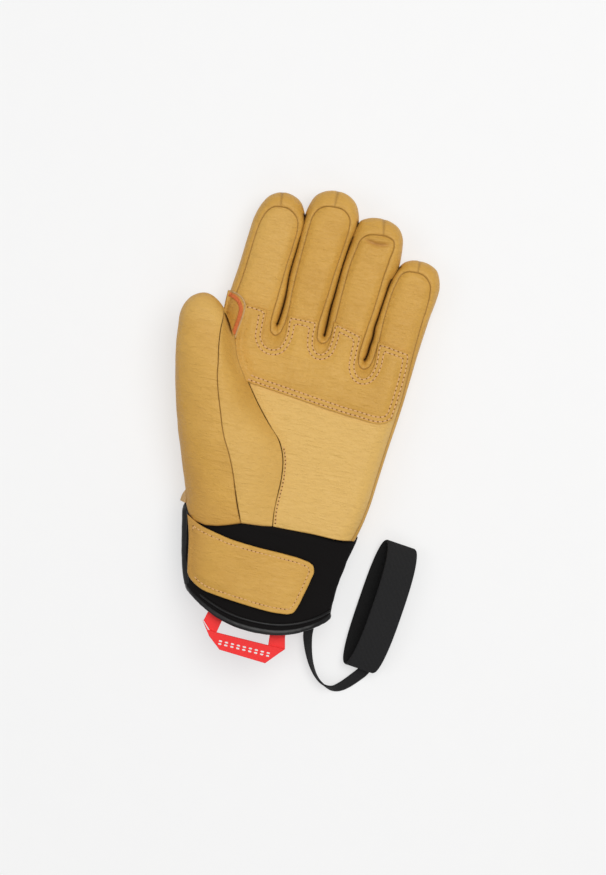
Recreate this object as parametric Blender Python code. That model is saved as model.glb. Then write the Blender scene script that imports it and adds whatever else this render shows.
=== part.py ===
"""Leather ski glove for the left hand, lying on its back with the palm up.

Frame: metres. +X runs across the palm towards the little finger, +Y towards the fingertips, +Z out of
the palm. The origin is at the middle of the palm, on the flat back of the hand that the glove rests on.
All sizes below are in millimetres, and scale_to_metres turns them into Blender's metres at the end.
"""

import math

import bmesh
import bpy
from mathutils import Vector
from mathutils.geometry import delaunay_2d_cdt

# ---------------------------------------------------------------- driving dimensions, mm
LEATHER = 1.2  # thickness of the outer leather
LINING = 1.5  # thickness of the insulated lining
SEAM_GAP = 0.35  # free space left between two panels that are sewn together
LINING_GAP = 0.7  # free space between the leather and the lining
JOINT_GAP = 0.3  # free space on each side of a bending line
ROUNDNESS = 2.6  # superellipse exponent of a finger's cross-section
GUIDE_MARGIN = 1.5  # how far a sheet's inner points stay from its outline
SEAM_AT = 0.81  # where a finger's front seam sits, as a share of its half width

FINGER_HEIGHT = 24.0  # outer thickness of a finger
FINGER_LIFT = 0.4  # clearance under the fingers, which the flat back carries

# name: (centre x at the bending line at its root, lean, half width, root line y, middle line y, tip y)
FINGERS = {
    "index": (-43.0, 0.067, 15.2, 75.0, 108.0, 140.5),
    "middle": (-11.6, 0.063, 14.1, 69.0, 109.0, 148.0),
    "ring": (17.2, 0.100, 14.1, 70.5, 104.0, 137.0),
    "little": (46.6, 0.105, 14.1, 63.5, 90.0, 116.5),
}
TIP_LENGTH = 18.0  # length of the rounded end of a finger
TIP_ROUNDNESS = 2.3  # exponent of a fingertip's outline
HINGE_RISE = 1.2  # how far a bending axis lies above the leather it folds

# y: (right edge of the palm x). The edge is a line through these points.
ULNAR_EDGE = ((-61.5, 47.0), (-38.0, 51.2), (-2.0, 55.0), (30.0, 58.2), (64.0, 61.0))
RADIAL_BEND_X = -46.0  # where the palm and the back begin to turn on the thumb's side
RADIAL_WIDTH = 27.0  # from that line to the outer edge of the thumb's root
RADIAL_RISE = 13.0  # how far the back has risen there
PALM_RADIUS = 13.0  # rounding of the palm's edge
BACK_RADIUS = 11.0  # rounding of the back's edge
WRIST_Y = -61.0  # where the leather ends and the cuff begins
PATCH_RISE = 0.9  # free space between the palm's leather and the patch on it
CROTCH_HALF_WIDTH = 1.6  # half the width of the slot between two fingers
CROTCH_LEAN = 0.06
CROTCH_Z = (4.5, 20.5)  # lower and upper edge of the strip in it
CROTCH_LEATHER = 1.0
THUMB_SEAM_GAP = 0.02  # free space at the thumb's length seam, as a share of a panel's width

# The thumb's root: y, seam with the palm (x), length seam (x, z), outer edge (x, z), edge at the
# back (x, z)
THENAR = (
    (-61.0, -4.5, (-23.5, 36.0), (-58.5, 19.0), (-49.0, 3.0)),
    (-45.0, -5.4, (-30.5, 38.5), (-63.0, 20.5), (-54.0, 4.0)),
    (-25.0, -6.0, (-38.5, 41.5), (-69.8, 23.0), (-61.0, 5.5)),
    (-5.0, -16.5, (-47.5, 44.0), (-76.2, 25.5), (-67.5, 8.0)),
    (10.0, -29.0, (-52.5, 45.7), (-80.0, 27.5), (-71.5, 10.5)),
    (21.7, -37.5, (-55.5, 46.4), (-82.4, 29.0), (-73.0, 13.0)),
)
THUMB_ROOT_Y = 22.0
THUMB_MIDDLE_Y = 47.0
THUMB_TIP_Y = 69.4
THUMB_ROUND_Y = 50.0  # where the thumb's rounded end begins
THUMB_SEAM_ANGLE = 68.0  # degrees round the section, from +X towards +Z
# y: centre x, centre z, half width, half height of the thumb
THUMB = (
    (22.0, -60.0, 30.2, 22.3, 16.2),
    (35.0, -65.6, 31.2, 19.0, 15.6),
    (50.0, -69.8, 32.2, 16.5, 15.0),
    (69.4, -73.5, 32.6, 15.5, 15.0),
)

# y: left edge x, right edge x, height of the cuff
CUFF = (
    (-61.5, -60.0, 47.2, 33.6),
    (-76.0, -57.4, 44.6, 34.4),
    (-90.0, -54.8, 42.2, 35.2),
    (-111.0, -48.6, 42.0, 37.0),
    (-128.0, -46.6, 41.0, 38.0),
)
CUFF_LIFT = 0.5  # clearance under the cuff, for its binding
CUFF_THICKNESS = 1.8
CUFF_ROUNDNESS = 2.3
HEM_SIDE_Y = -107.5  # the hem at the sides of the cuff
HEM_DIP_PALM = 15.8  # how much lower it runs on the palm side
HEM_DIP_BACK = 7.0
HEM_SHARPNESS = 1.9  # how far the dip keeps to the middle
BINDING_WIDTH = 3.5
BINDING_PROUD = 0.4  # how far the binding stands out of the cuff on each face

STRAP_RISE = 1.9  # the strap's underside above the cuff
STRAP_THICKNESS = 1.8
HOOK_RISE = 0.6
HOOK_THICKNESS = 1.0
STRAP_LEFT = ((-56.2, -66.4), (-50.6, -101.0))  # the strap's sewn edge: upper end, lower end
STRAP_RIGHT = ((25.4, -80.6), (20.6, -110.6))  # its free end
HOOK_LEFT = ((-8.0, -81.0), (-8.0, -108.0))
HOOK_RIGHT = ((20.5, -83.5), (17.0, -107.0))

PULL_LOOP_Z = 29.6
PULL_LOOP_THICKNESS = 1.6
PULL_LOOP_HINGE = (-7.0, -122.0, 31.2)

LEASH_WIDTH = 7.0
# The leash tape's route, from the hem to the wrist loop: x, y, z of its middle line
LEASH_ROUTE = (
    (31.0, -120.2, 4.4),
    (31.3, -124.0, 4.1),
    (32.2, -128.2, 3.9),
    (33.7, -132.8, 3.8),
    (35.7, -137.4, 3.8),
    (38.1, -141.6, 3.8),
    (41.1, -145.6, 3.8),
    (44.7, -148.9, 3.8),
    (48.8, -151.0, 3.8),
    (53.2, -151.7, 3.8),
    (57.6, -150.4, 3.8),
    (61.7, -147.6, 3.8),
    (65.2, -144.4, 3.8),
    (68.0, -141.4, 3.8),
)
LOOP_CENTRE = (70.6, -97.2, 7.2)  # middle of the wrist loop
LOOP_HALF_LENGTH = 40.8
LOOP_HALF_HEIGHT = 6.7
LOOP_WIDTH = 19.0  # width of its elastic band
LOOP_BAND = 1.6
LOOP_LEAN = math.radians(4.6)  # the loop's long axis, turned from +Y towards +X
LOOP_ROUNDNESS = 0.8  # under 1 is squarer than an ellipse
LOOP_SHEAR = 3.9  # how far its upper layer lies to the right of its middle

TAN = (0.66, 0.40, 0.11)
PALE_TAN = (0.72, 0.47, 0.16)
BLACK = (0.010, 0.009, 0.009)
GLOSS_BLACK = (0.015, 0.015, 0.015)
RED = (0.86, 0.055, 0.05)
CHARCOAL = (0.03, 0.03, 0.032)
FLEECE = (0.05, 0.05, 0.055)


# ---------------------------------------------------------------- small tools
def scale_to_metres(point):
    return Vector(point) * 0.001


def line_through(table, at):
    """The values of a table's row at a place between its rows, each row's first number being the place."""
    rows = sorted(table)
    at = min(max(at, rows[0][0]), rows[-1][0])
    for low, high in zip(rows, rows[1:]):
        if at <= high[0]:
            share = (at - low[0]) / (high[0] - low[0])
            return [a + (b - a) * share for a, b in zip(low[1:], high[1:])]
    return list(rows[-1][1:])


def steps(first, last, count):
    return [first + (last - first) * i / count for i in range(count + 1)]


def power(value, exponent):
    """value to the exponent, keeping its sign."""
    return math.copysign(abs(value) ** exponent, value)


def material(name, colour, roughness):
    found = bpy.data.materials.get(name)
    if found:
        return found
    made = bpy.data.materials.new(name)
    made.use_nodes = True
    shader = made.node_tree.nodes["Principled BSDF"]
    shader.inputs["Base Color"].default_value = (*colour, 1.0)
    shader.inputs["Roughness"].default_value = roughness
    shader.inputs["Metallic"].default_value = 0.0
    return made


def leather():
    return material("leather", TAN, 0.5)


def lining():
    return material("lining_fleece", FLEECE, 0.95)


def body_pivot(name, place):
    """An empty on a joint's axis, which the body's pieces are parented to."""
    pivot = bpy.data.objects.new(f"{name}_pivot", None)
    pivot.location = scale_to_metres(place)
    bpy.context.scene.collection.objects.link(pivot)
    return pivot


def add_node(name, points, faces, finish, pivot):
    """One closed solid as an object, with its origin on its body's pivot."""
    bm = bmesh.new()
    verts = [bm.verts.new(scale_to_metres(p) - pivot.location) for p in points]
    for face in faces:
        bm.faces.new([verts[i] for i in face])
    bmesh.ops.recalc_face_normals(bm, faces=bm.faces[:])
    mesh = bpy.data.meshes.new(name)
    bm.to_mesh(mesh)
    bm.free()
    mesh.materials.append(finish)
    mesh.shade_smooth()
    mesh.set_sharp_from_angle(angle=math.radians(40))
    node = bpy.data.objects.new(name, mesh)
    bpy.context.scene.collection.objects.link(node)
    node.parent = pivot
    return node


def slab(outer, inner):
    """Points and faces of the closed solid between two matching grids of points."""
    rows, columns = len(outer), len(outer[0])
    points = [p for grid in (outer, inner) for row in grid for p in row]

    def at(layer, row, column):
        return (layer * rows + row) * columns + column

    faces = []
    for r in range(rows - 1):
        for c in range(columns - 1):
            faces.append((at(0, r, c), at(0, r, c + 1), at(0, r + 1, c + 1), at(0, r + 1, c)))
            faces.append((at(1, r, c), at(1, r + 1, c), at(1, r + 1, c + 1), at(1, r, c + 1)))
    rim = [(0, c) for c in range(columns - 1)]
    rim += [(r, columns - 1) for r in range(rows - 1)]
    rim += [(rows - 1, c) for c in range(columns - 1, 0, -1)]
    rim += [(r, 0) for r in range(rows - 1, 0, -1)]
    for (r0, c0), (r1, c1) in zip(rim, rim[1:] + rim[:1]):
        faces.append((at(0, r0, c0), at(1, r0, c0), at(1, r1, c1), at(0, r1, c1)))
    return points, faces


def tube(outer, inner, capped=False):
    """The closed solid between two sets of rings. A capped one ends in a dome at its last ring."""
    rings, around = len(outer), len(outer[0])
    points = [p for grid in (outer, inner) for ring in grid for p in ring]

    def at(layer, ring, step):
        return (layer * rings + ring) * around + step % around

    faces = []
    for r in range(rings - 1):
        for s in range(around):
            faces.append((at(0, r, s), at(0, r, s + 1), at(0, r + 1, s + 1), at(0, r + 1, s)))
            faces.append((at(1, r, s), at(1, r + 1, s), at(1, r + 1, s + 1), at(1, r, s + 1)))
    ends = [0] if capped else [0, rings - 1]
    for r in ends:
        for s in range(around):
            faces.append((at(0, r, s), at(0, r, s + 1), at(1, r, s + 1), at(1, r, s)))
    if capped:
        for layer in (0, 1):
            faces.append([at(layer, rings - 1, s) for s in range(around)])
    return points, faces


def inside(outline, x, y):
    hit = False
    for (x0, y0), (x1, y1) in zip(outline, outline[1:] + outline[:1]):
        if (y0 > y) != (y1 > y) and x < x0 + (y - y0) * (x1 - x0) / (y1 - y0):
            hit = not hit
    return hit


def distance_to(outline, x, y):
    here = Vector((x, y))
    best = 1e9
    for a, b in zip(outline, outline[1:] + outline[:1]):
        a, b = Vector(a), Vector(b)
        share = max(0.0, min(1.0, (here - a).dot(b - a) / (b - a).length_squared))
        best = min(best, (here - a - (b - a) * share).length)
    return best


def cut_sheet(outline, outer, inner, spacing=13.0, guides=()):
    """The closed solid of a sheet cut to an outline. outer and inner turn a place on the flat
    pattern into a point on the sheet's two faces. Sheets that lie on each other share guide points
    in their bends."""
    pattern = [tuple(p) for p in outline]
    count = len(pattern)
    pattern += [p for p in guides if inside(outline, *p) and distance_to(outline, *p) > GUIDE_MARGIN]
    low_x, high_x = min(p[0] for p in outline), max(p[0] for p in outline)
    low_y, high_y = min(p[1] for p in outline), max(p[1] for p in outline)
    for i in range(int((high_x - low_x) / spacing) + 1):
        for j in range(int((high_y - low_y) / spacing) + 1):
            x, y = low_x + (i + 0.5) * spacing, low_y + (j + 0.5) * spacing
            near = min((math.dist((x, y), p) for p in pattern[count:]), default=spacing)
            if inside(outline, x, y) and min(distance_to(outline, x, y), near) > 0.35 * spacing:
                pattern.append((x, y))
    rim = [(i, (i + 1) % count) for i in range(count)]
    flat, _, triangles, *_ = delaunay_2d_cdt([Vector(p) for p in pattern], rim, [], 1, 1e-5)
    points = [outer(x, y) for x, y in flat] + [inner(x, y) for x, y in flat]
    total = len(flat)
    faces = [tuple(t) for t in triangles] + [tuple(v + total for v in reversed(t)) for t in triangles]
    edges = {}
    for t in triangles:
        for a, b in zip(t, list(t[1:]) + [t[0]]):
            edges[(a, b)] = (b, a) not in edges and edges.get((a, b), True)
            if (b, a) in edges:
                edges[(a, b)] = edges[(b, a)] = False
    for (a, b), on_rim in edges.items():
        if on_rim:
            faces.append((b, a, a + total, b + total))
    return points, faces


# ---------------------------------------------------------------- fingers
FINGER_MID_Z = FINGER_LIFT + FINGER_HEIGHT / 2


def finger_centre_x(name, y):
    root_x, lean, _, root_y, _, _ = FINGERS[name]
    return root_x + lean * (y - root_y)


def finger_face_point(name, x_share, y, side, inset):
    """A point on a finger's front (side 1) or back (side -1), x_share of the half width from its middle."""
    _, _, half_width, _, _, tip_y = FINGERS[name]
    round_y = tip_y - TIP_LENGTH
    y_share = max(0.0, (y - round_y) / TIP_LENGTH)
    radius = (abs(x_share) ** TIP_ROUNDNESS + y_share**TIP_ROUNDNESS) ** (1 / TIP_ROUNDNESS)
    if y_share == 0.0:
        radius = abs(x_share)
    rise = max(0.0, 1 - radius**ROUNDNESS) ** (1 / ROUNDNESS)
    place_y = y if y_share == 0.0 else round_y + (TIP_LENGTH - inset) * y_share
    x = finger_centre_x(name, y) + (half_width - inset) * x_share
    return (x, place_y, FINGER_MID_Z + side * (FINGER_HEIGHT / 2 - inset) * rise)


def finger_side_point(name, along, tilt, inset):
    """A point on the strip round a finger. along is ("side", sign, y) or ("tip", angle in degrees)."""
    _, _, half_width, _, _, tip_y = FINGERS[name]
    round_y = tip_y - TIP_LENGTH
    reach = power(math.cos(tilt), 2 / ROUNDNESS)
    z = FINGER_MID_Z + (FINGER_HEIGHT / 2 - inset) * power(math.sin(tilt), 2 / ROUNDNESS)
    if along[0] == "side":
        x = finger_centre_x(name, along[2]) + along[1] * (half_width - inset) * reach
        return (x, along[2], z)
    angle = math.radians(along[1])
    x_share = reach * power(math.cos(angle), 2 / TIP_ROUNDNESS)
    y_share = reach * power(math.sin(angle), 2 / TIP_ROUNDNESS)
    y = round_y + (TIP_LENGTH - inset) * y_share
    return (finger_centre_x(name, y) + (half_width - inset) * x_share, y, z)


def seam_tilt(share):
    """The tilt on the superellipse where the surface is this share of the half width from the middle."""
    return math.acos(share ** (ROUNDNESS / 2))


def finger_panel(name, side, y_places):
    """A front or back panel, which narrows round the fingertip."""
    share = SEAM_AT - 0.5 * SEAM_GAP / FINGERS[name][2]
    round_y = FINGERS[name][5] - TIP_LENGTH
    grids = []
    for inset in (0.0, LEATHER):
        grid = []
        for y in y_places:
            y_share = max(0.0, (y - round_y) / TIP_LENGTH)
            width = (share**TIP_ROUNDNESS - y_share**TIP_ROUNDNESS) ** (1 / TIP_ROUNDNESS)
            grid.append([finger_face_point(name, u * width, y, side, inset) for u in steps(-1, 1, 4)])
        grids.append(grid)
    return slab(*grids)


def finger_strip(name, path):
    """A side strip, or fourchette, along a list of places round the finger."""
    tilt = seam_tilt(SEAM_AT + 0.5 * SEAM_GAP / FINGERS[name][2])
    tilts = steps(-tilt, tilt, 4)
    return slab(*[[[finger_side_point(name, p, t, i) for t in tilts] for p in path] for i in (0.0, LEATHER)])


def finger_rings(name, y_places, around=12):
    """Rings of the lining tube's outer and inner face."""
    grids = []
    for inset in (LEATHER + LINING_GAP, LEATHER + LINING_GAP + LINING):
        grid = []
        for y in y_places:
            round_y = FINGERS[name][5] - TIP_LENGTH
            y_share = max(0.0, (y - round_y) / TIP_LENGTH)
            shrink = max(0.0, 1 - y_share**TIP_ROUNDNESS) ** (1 / TIP_ROUNDNESS)
            ring = []
            for i in range(around):
                tilt = 2 * math.pi * (i + 0.5) / around
                half_width = (FINGERS[name][2] - inset) * shrink
                x = finger_centre_x(name, y) + half_width * power(math.cos(tilt), 2 / ROUNDNESS)
                half_height = (FINGER_HEIGHT / 2 - inset) * max(shrink, 0.2)
                z = FINGER_MID_Z + half_height * power(math.sin(tilt), 2 / ROUNDNESS)
                ring.append((x, y if y_share == 0 else y - inset * y_share, z))
            grid.append(ring)
        grids.append(grid)
    return grids


def build_finger(name):
    _, _, _, root_y, middle_y, tip_y = FINGERS[name]
    round_y = tip_y - TIP_LENGTH
    top = FINGER_LIFT + FINGER_HEIGHT + HINGE_RISE
    base = body_pivot(f"{name}_base", (finger_centre_x(name, root_y), root_y, top + HINGE_RISE))
    tip = body_pivot(f"{name}_tip", (finger_centre_x(name, middle_y), middle_y, top))

    base_y = steps(root_y + JOINT_GAP, middle_y - JOINT_GAP, 3)
    tip_straight = steps(middle_y + JOINT_GAP, round_y, 1)
    tip_rows = tip_straight + [round_y + TIP_LENGTH * s for s in (0.25, 0.45, 0.6, 0.7, 0.77)]
    for side, word in ((1, "front"), (-1, "back")):
        add_node(f"{name}_base_{word}", *finger_panel(name, side, base_y), leather(), base)
        add_node(f"{name}_tip_{word}", *finger_panel(name, side, tip_rows), leather(), tip)
    for sign, word in ((-1, "left"), (1, "right")):
        path = [("side", sign, y) for y in base_y]
        add_node(f"{name}_base_wall_{word}", *finger_strip(name, path), leather(), base)
    path = [("side", -1, y) for y in tip_straight[:1]]
    path += [("tip", angle) for angle in steps(180, 0, 12)]
    path += [("side", 1, y) for y in tip_straight[:1]]
    add_node(f"{name}_tip_gusset", *finger_strip(name, path), leather(), tip)

    sleeve = finger_rings(name, steps(root_y + 2 * JOINT_GAP, middle_y - 2 * JOINT_GAP, 2))
    add_node(f"{name}_base_lining", *tube(*sleeve), lining(), base)
    sock_y = [middle_y + 2 * JOINT_GAP] + [round_y + TIP_LENGTH * s for s in (0, 0.4, 0.7, 0.88, 0.95)]
    add_node(f"{name}_tip_lining", *tube(*finger_rings(name, sock_y), capped=True), lining(), tip)


# ---------------------------------------------------------------- palm and back of the hand
def palm_height(y):
    return 29.6 - 0.042 * y


def ulnar_edge(y):
    return line_through(ULNAR_EDGE, y)[0]


def rolled(x, y, radius, start):
    """Where a sheet goes that bends round the ulnar edge: its x, and how far it has turned (0 when flat)."""
    bend_x = ulnar_edge(y) - radius
    turn = max(0.0, (x - bend_x) / radius)
    return (min(x, bend_x) + (radius - start) * math.sin(turn), (radius - start) * (1 - math.cos(turn)))


def palm_point(x, y, depth):
    """A point of the palm's leather, depth below its outer face, on the flat pattern's place x, y."""
    out_x, drop = rolled(x, y, PALM_RADIUS, depth)
    radial = max(0.0, (RADIAL_BEND_X - x) / PALM_RADIUS)
    drop += PALM_RADIUS * (1 - math.sqrt(max(0.0, 1 - min(radial, 0.8) ** 2)))
    return (out_x, y, palm_height(y) - depth - drop)


def back_point(x, y, depth):
    """A point of the back's leather: flat, but for the rise at both edges."""
    out_x, rise = rolled(x, y, BACK_RADIUS, depth)
    rise += RADIAL_RISE * (max(0.0, RADIAL_BEND_X - x) / RADIAL_WIDTH) ** 1.7
    return (out_x, y, depth + rise)


def finger_root_edge():
    """The upper edge of the palm or back pattern, from the index to the little finger, round the crotches."""
    index, middle, ring, little = (row[3] - JOINT_GAP for row in FINGERS.values())
    return [
        (-50.6, index), (-31.2, index), (-31.2, 60.0), (-30.4, 54.5), (-27.0, 51.0), (-23.4, 55.0),
        (-23.0, 61.0), (-22.6, middle), (-1.6, middle), (-2.2, 59.0), (1.8, 52.0), (5.8, 59.0),
        (6.8, ring), (27.2, ring), (26.0, 52.0), (30.2, 42.0), (34.4, 50.0), (35.8, little),
    ]


def bend_guides(radius):
    """Points on the flat pattern along the bends at the ulnar edge and at the thumb's side."""
    places = steps(-58, 58, 10)
    ulnar = [(ulnar_edge(y) - radius * s, y) for y in places for s in (1.0, 0.65, 0.3)]
    return ulnar + [(RADIAL_BEND_X, y) for y in places]


def ulnar_pattern_edge(radius, turn_degrees, top_y):
    """The pattern's right edge, long enough to turn by so much round the ulnar side, from top to wrist."""
    spare = radius * (math.radians(turn_degrees) - 1)
    edge = [(ulnar_edge(y) + spare, y) for y in (top_y, 42.0, 20.0, -5.0, -33.0, WRIST_Y)]
    return edge + [(ulnar_edge(WRIST_Y) - radius * s, WRIST_Y) for s in (0.3, 1.0)]


def build_hand(hand):
    little_y = FINGERS["little"][3] - JOINT_GAP
    thumb_seam = [(x + 0.9, y) for y, x, *_ in THENAR] + [(-42.2, 31.0), (-46.4, 41.0), (-49.8, 52.0)]
    palm = thumb_seam + finger_root_edge() + ulnar_pattern_edge(PALM_RADIUS, 78, little_y)
    add_node(
        "palm_leather",
        *cut_sheet(
            palm,
            lambda x, y: palm_point(x, y, 0),
            lambda x, y: palm_point(x, y, LEATHER),
            guides=bend_guides(PALM_RADIUS),
        ),
        leather(), hand,
    )
    back_left = [(-48.0, WRIST_Y), (-53.0, -45), (-60.0, -25), (-66.5, -5), (-70.5, 10), (-72.0, 21.0)]
    back_left += [(-60.0, 27.0), (-56.5, 40.0), (-55.0, 56.0)]
    back = [(RADIAL_BEND_X, WRIST_Y)] + back_left + finger_root_edge()
    back += ulnar_pattern_edge(BACK_RADIUS, 112, little_y)
    add_node(
        "back_leather",
        *cut_sheet(
            back,
            lambda x, y: back_point(x, y, 0),
            lambda x, y: back_point(x, y, LEATHER),
            guides=bend_guides(BACK_RADIUS),
        ),
        leather(), hand,
    )

    patch = [
        (-37.0, 22.0), (-42.8, 31.5), (-47.0, 41.0), (-49.2, 52.0), (-49.4, 66.5), (-47.0, 68.6),
        (-35.0, 66.8), (-34.8, 50.0), (-32.2, 46.6), (-27.5, 45.0), (-22.8, 47.4), (-21.5, 52.0),
        (-21.3, 66.6), (-2.7, 66.8), (-2.6, 52.0), (2.0, 48.0), (6.4, 52.0), (6.7, 68.6),
        (25.5, 63.8), (25.4, 44.0), (30.6, 38.8), (35.4, 44.0), (35.8, 62.0),
        (53.0, 59.8), (54.0, 40.0), (52.6, 16.4), (49.0, 14.2), (30.0, 13.8), (-10.0, 18.0),
    ]
    add_node(
        "palm_patch",
        *cut_sheet(
            patch,
            lambda x, y: palm_point(x, y, -PATCH_RISE - LEATHER),
            lambda x, y: palm_point(x, y, -PATCH_RISE),
            guides=bend_guides(PALM_RADIUS),
        ),
        material("leather_patch", PALE_TAN, 0.5), hand,
    )

    def side_patch_point(y, tilt, inset):
        reach = power(math.cos(tilt), 2 / ROUNDNESS)
        z = FINGER_MID_Z + (FINGER_HEIGHT / 2 - inset) * power(math.sin(tilt), 2 / ROUNDNESS)
        return (-43.0 - (17.0 - inset) * reach, y, z)

    tilts = [math.radians(a) for a in steps(-34, 52, 5)]
    rows = steps(52.0, FINGERS["index"][3] - JOINT_GAP, 2)
    grids = [[[side_patch_point(y, t, i) for t in tilts] for y in rows] for i in (0.0, LEATHER)]
    add_node("index_side_patch", *slab(*grids), leather(), hand)

    lining_start = LEATHER + LINING_GAP
    lining_edge = [(-32.0, 22.0), (-38.0, 35.0), (-40.0, 60.0), (-34.0, 60.0), (-33.0, 50.0), (-27.0, 47.5)]
    lining_edge += [(1.8, 48.5), (23.0, 47.0), (30.0, 38.0), (37.0, 45.0), (42.0, 48.0)]
    right = [(ulnar_edge(y) - PALM_RADIUS - 1, y) for y in (42.0, 0.0, -35.0, WRIST_Y + 1)]
    palm_edge = [(-1.0, WRIST_Y + 1), (-2.0, -25.0), (-12.0, -4.0)] + lining_edge + right
    back_edge = [(-36.0, WRIST_Y + 1), (-38.0, -30.0), (-38.0, 22.0)] + lining_edge[1:] + right
    for word, edge, surface in (("palm", palm_edge, palm_point), ("back", back_edge, back_point)):
        add_node(
            f"{word}_lining",
            *cut_sheet(
                edge,
                lambda x, y, f=surface: f(x, y, lining_start),
                lambda x, y, f=surface: f(x, y, lining_start + LINING),
                spacing=18.0,
            ),
            lining(), hand,
        )


def build_crotches(hand):
    """The U-shaped strips that line the slots between the roots of the fingers."""
    slots = {
        "index_middle": (-26.8, 53.2, "index", "middle"),
        "middle_ring": (2.1, 54.4, "middle", "ring"),
        "ring_little": (30.9, 44.0, "ring", "little"),
    }
    for word, (x, bottom_y, left, right) in slots.items():
        left_top, right_top = FINGERS[left][3] - JOINT_GAP, FINGERS[right][3] - JOINT_GAP
        leg, lean = CROTCH_HALF_WIDTH, CROTCH_LEAN
        path = [(x - leg + lean * (left_top - bottom_y), left_top), (x - leg, bottom_y + 3.5)]
        path += [(x - 0.9, bottom_y + 0.7), (x + 0.9, bottom_y + 0.7)]
        path += [(x + leg, bottom_y + 3.5), (x + leg + lean * (right_top - bottom_y), right_top)]
        ways = [Vector(b) - Vector(a) for a, b in zip(path, path[1:])]
        normals = []
        for i in range(len(path)):
            way = ways[max(i - 1, 0)].normalized() + ways[min(i, len(ways) - 1)].normalized()
            normals.append(Vector((way.y, -way.x)).normalized())
        grids = []
        for shift in (0.0, -CROTCH_LEATHER):
            edge = [Vector(p) + n * shift for p, n in zip(path, normals)]
            grids.append([[(p.x, p.y, z) for z in CROTCH_Z] for p in edge])
        add_node(f"crotch_gusset_{word}", *slab(*grids), leather(), hand)


# ---------------------------------------------------------------- thumb
def thenar_curve(row, share):
    """A point on the thumb's root. share runs 0 to 1 from the palm's seam up to the length seam, 1 to 2
    on to the outer edge, and 2 to 3 round to the back."""
    y, palm_x, (seam_x, seam_z), (edge_x, edge_z), (back_x, back_z) = row
    if share <= 1:
        palm_z = palm_height(y) - 0.4
        rise = math.sin(share * math.pi / 2)
        return (palm_x + (seam_x - palm_x) * share, y, palm_z + (seam_z - palm_z) * rise)
    if share <= 2:
        turn = (share - 1) * math.pi / 2
        x = seam_x + (edge_x - seam_x) * math.sin(turn) ** 0.9
        return (x, y, edge_z + (seam_z - edge_z) * math.cos(turn) ** 0.9)
    turn = (share - 2) * math.pi / 2
    x = edge_x + (back_x - edge_x) * (1 - math.cos(turn))
    return (x, y, edge_z + (back_z - edge_z) * math.sin(turn))


def offset_grid(grid, depth):
    """The grid moved in along its normals, which point to the right of its rows."""
    moved = []
    rows, columns = len(grid), len(grid[0])
    for r in range(rows):
        line = []
        for c in range(columns):
            along = Vector(grid[min(r + 1, rows - 1)][c]) - Vector(grid[max(r - 1, 0)][c])
            across = Vector(grid[r][min(c + 1, columns - 1)]) - Vector(grid[r][max(c - 1, 0)])
            line.append(tuple(Vector(grid[r][c]) + across.cross(along).normalized() * depth))
        moved.append(line)
    return moved


def thumb_point(y, angle, inset):
    """A point on the free thumb, angle degrees round its section from +X towards +Z."""
    centre_x, centre_z, half_width, half_height = line_through(THUMB, y)
    y_share = max(0.0, (y - THUMB_ROUND_Y) / (THUMB_TIP_Y - THUMB_ROUND_Y))
    shrink = max(0.0, 1 - y_share**1.9) ** (1 / 1.9)
    turn = math.radians(angle)
    x = centre_x + (half_width - inset) * shrink * power(math.cos(turn), 0.85)
    z = centre_z + (half_height - inset) * max(shrink, 0.15) * power(math.sin(turn), 0.85)
    return (x, y - inset * y_share, z)


def thumb_grid(y_places, angles, inset):
    return [[thumb_point(y, a, inset) for a in angles] for y in y_places]


def build_thumb(hand):
    gap = THUMB_SEAM_GAP
    for word, shares in (("inner", steps(gap, 1 - gap, 4)), ("outer", steps(1 + gap, 2.9, 7))):
        grid = [[thenar_curve(row, s) for s in shares] for row in THENAR]
        sunk = offset_grid(grid, LEATHER)
        if sunk[2][0][2] > grid[2][0][2]:
            sunk = offset_grid(grid, -LEATHER)
        add_node(f"thumb_root_{word}", *slab(grid, sunk), leather(), hand)

    pivots = []
    for word, y in (("base", THUMB_ROOT_Y), ("tip", THUMB_MIDDLE_Y)):
        centre_x, centre_z, _, half_height = line_through(THUMB, y)
        pivots.append(body_pivot(f"thumb_{word}", (centre_x, y, centre_z + half_height + HINGE_RISE)))
    base, tip = pivots
    base_y = steps(THUMB_ROOT_Y + JOINT_GAP, THUMB_MIDDLE_Y - JOINT_GAP, 2)
    for word, angles in (
        ("inner", steps(THUMB_SEAM_ANGLE - 1, -78, 6)),
        ("outer", steps(THUMB_SEAM_ANGLE + 1, 280, 7)),
    ):
        grids = [thumb_grid(base_y, angles, inset) for inset in (0.0, LEATHER)]
        add_node(f"thumb_base_{word}", *slab(*grids), leather(), base)
    around = [360 * i / 14 for i in range(14)]
    length = THUMB_TIP_Y - THUMB_ROUND_Y
    tip_y = [THUMB_MIDDLE_Y + JOINT_GAP] + [THUMB_ROUND_Y + length * s for s in (0, 0.4, 0.7, 0.88, 0.97)]
    grids = [thumb_grid(tip_y, around, inset) for inset in (0.0, LEATHER)]
    add_node("thumb_tip_shell", *tube(*grids, capped=True), leather(), tip)
    start = LEATHER + LINING_GAP
    grids = [thumb_grid(base_y, around, inset) for inset in (start, start + LINING)]
    add_node("thumb_base_lining", *tube(*grids), lining(), base)
    grids = [thumb_grid(tip_y[:-1], around, inset) for inset in (start, start + LINING)]
    add_node("thumb_tip_lining", *tube(*grids, capped=True), lining(), tip)


# ---------------------------------------------------------------- cuff, strap and trimmings
def cuff_point(y, angle, inset):
    """A point on the cuff's oval section, angle degrees from +X towards +Z."""
    left, right, height = line_through(CUFF, y)
    turn = math.radians(angle)
    x = (left + right) / 2 + ((right - left) / 2 - inset) * power(math.cos(turn), 2 / CUFF_ROUNDNESS)
    z = height / 2 + (height / 2 - inset) * power(math.sin(turn), 2 / CUFF_ROUNDNESS)
    return (x, y, CUFF_LIFT + z)


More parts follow.
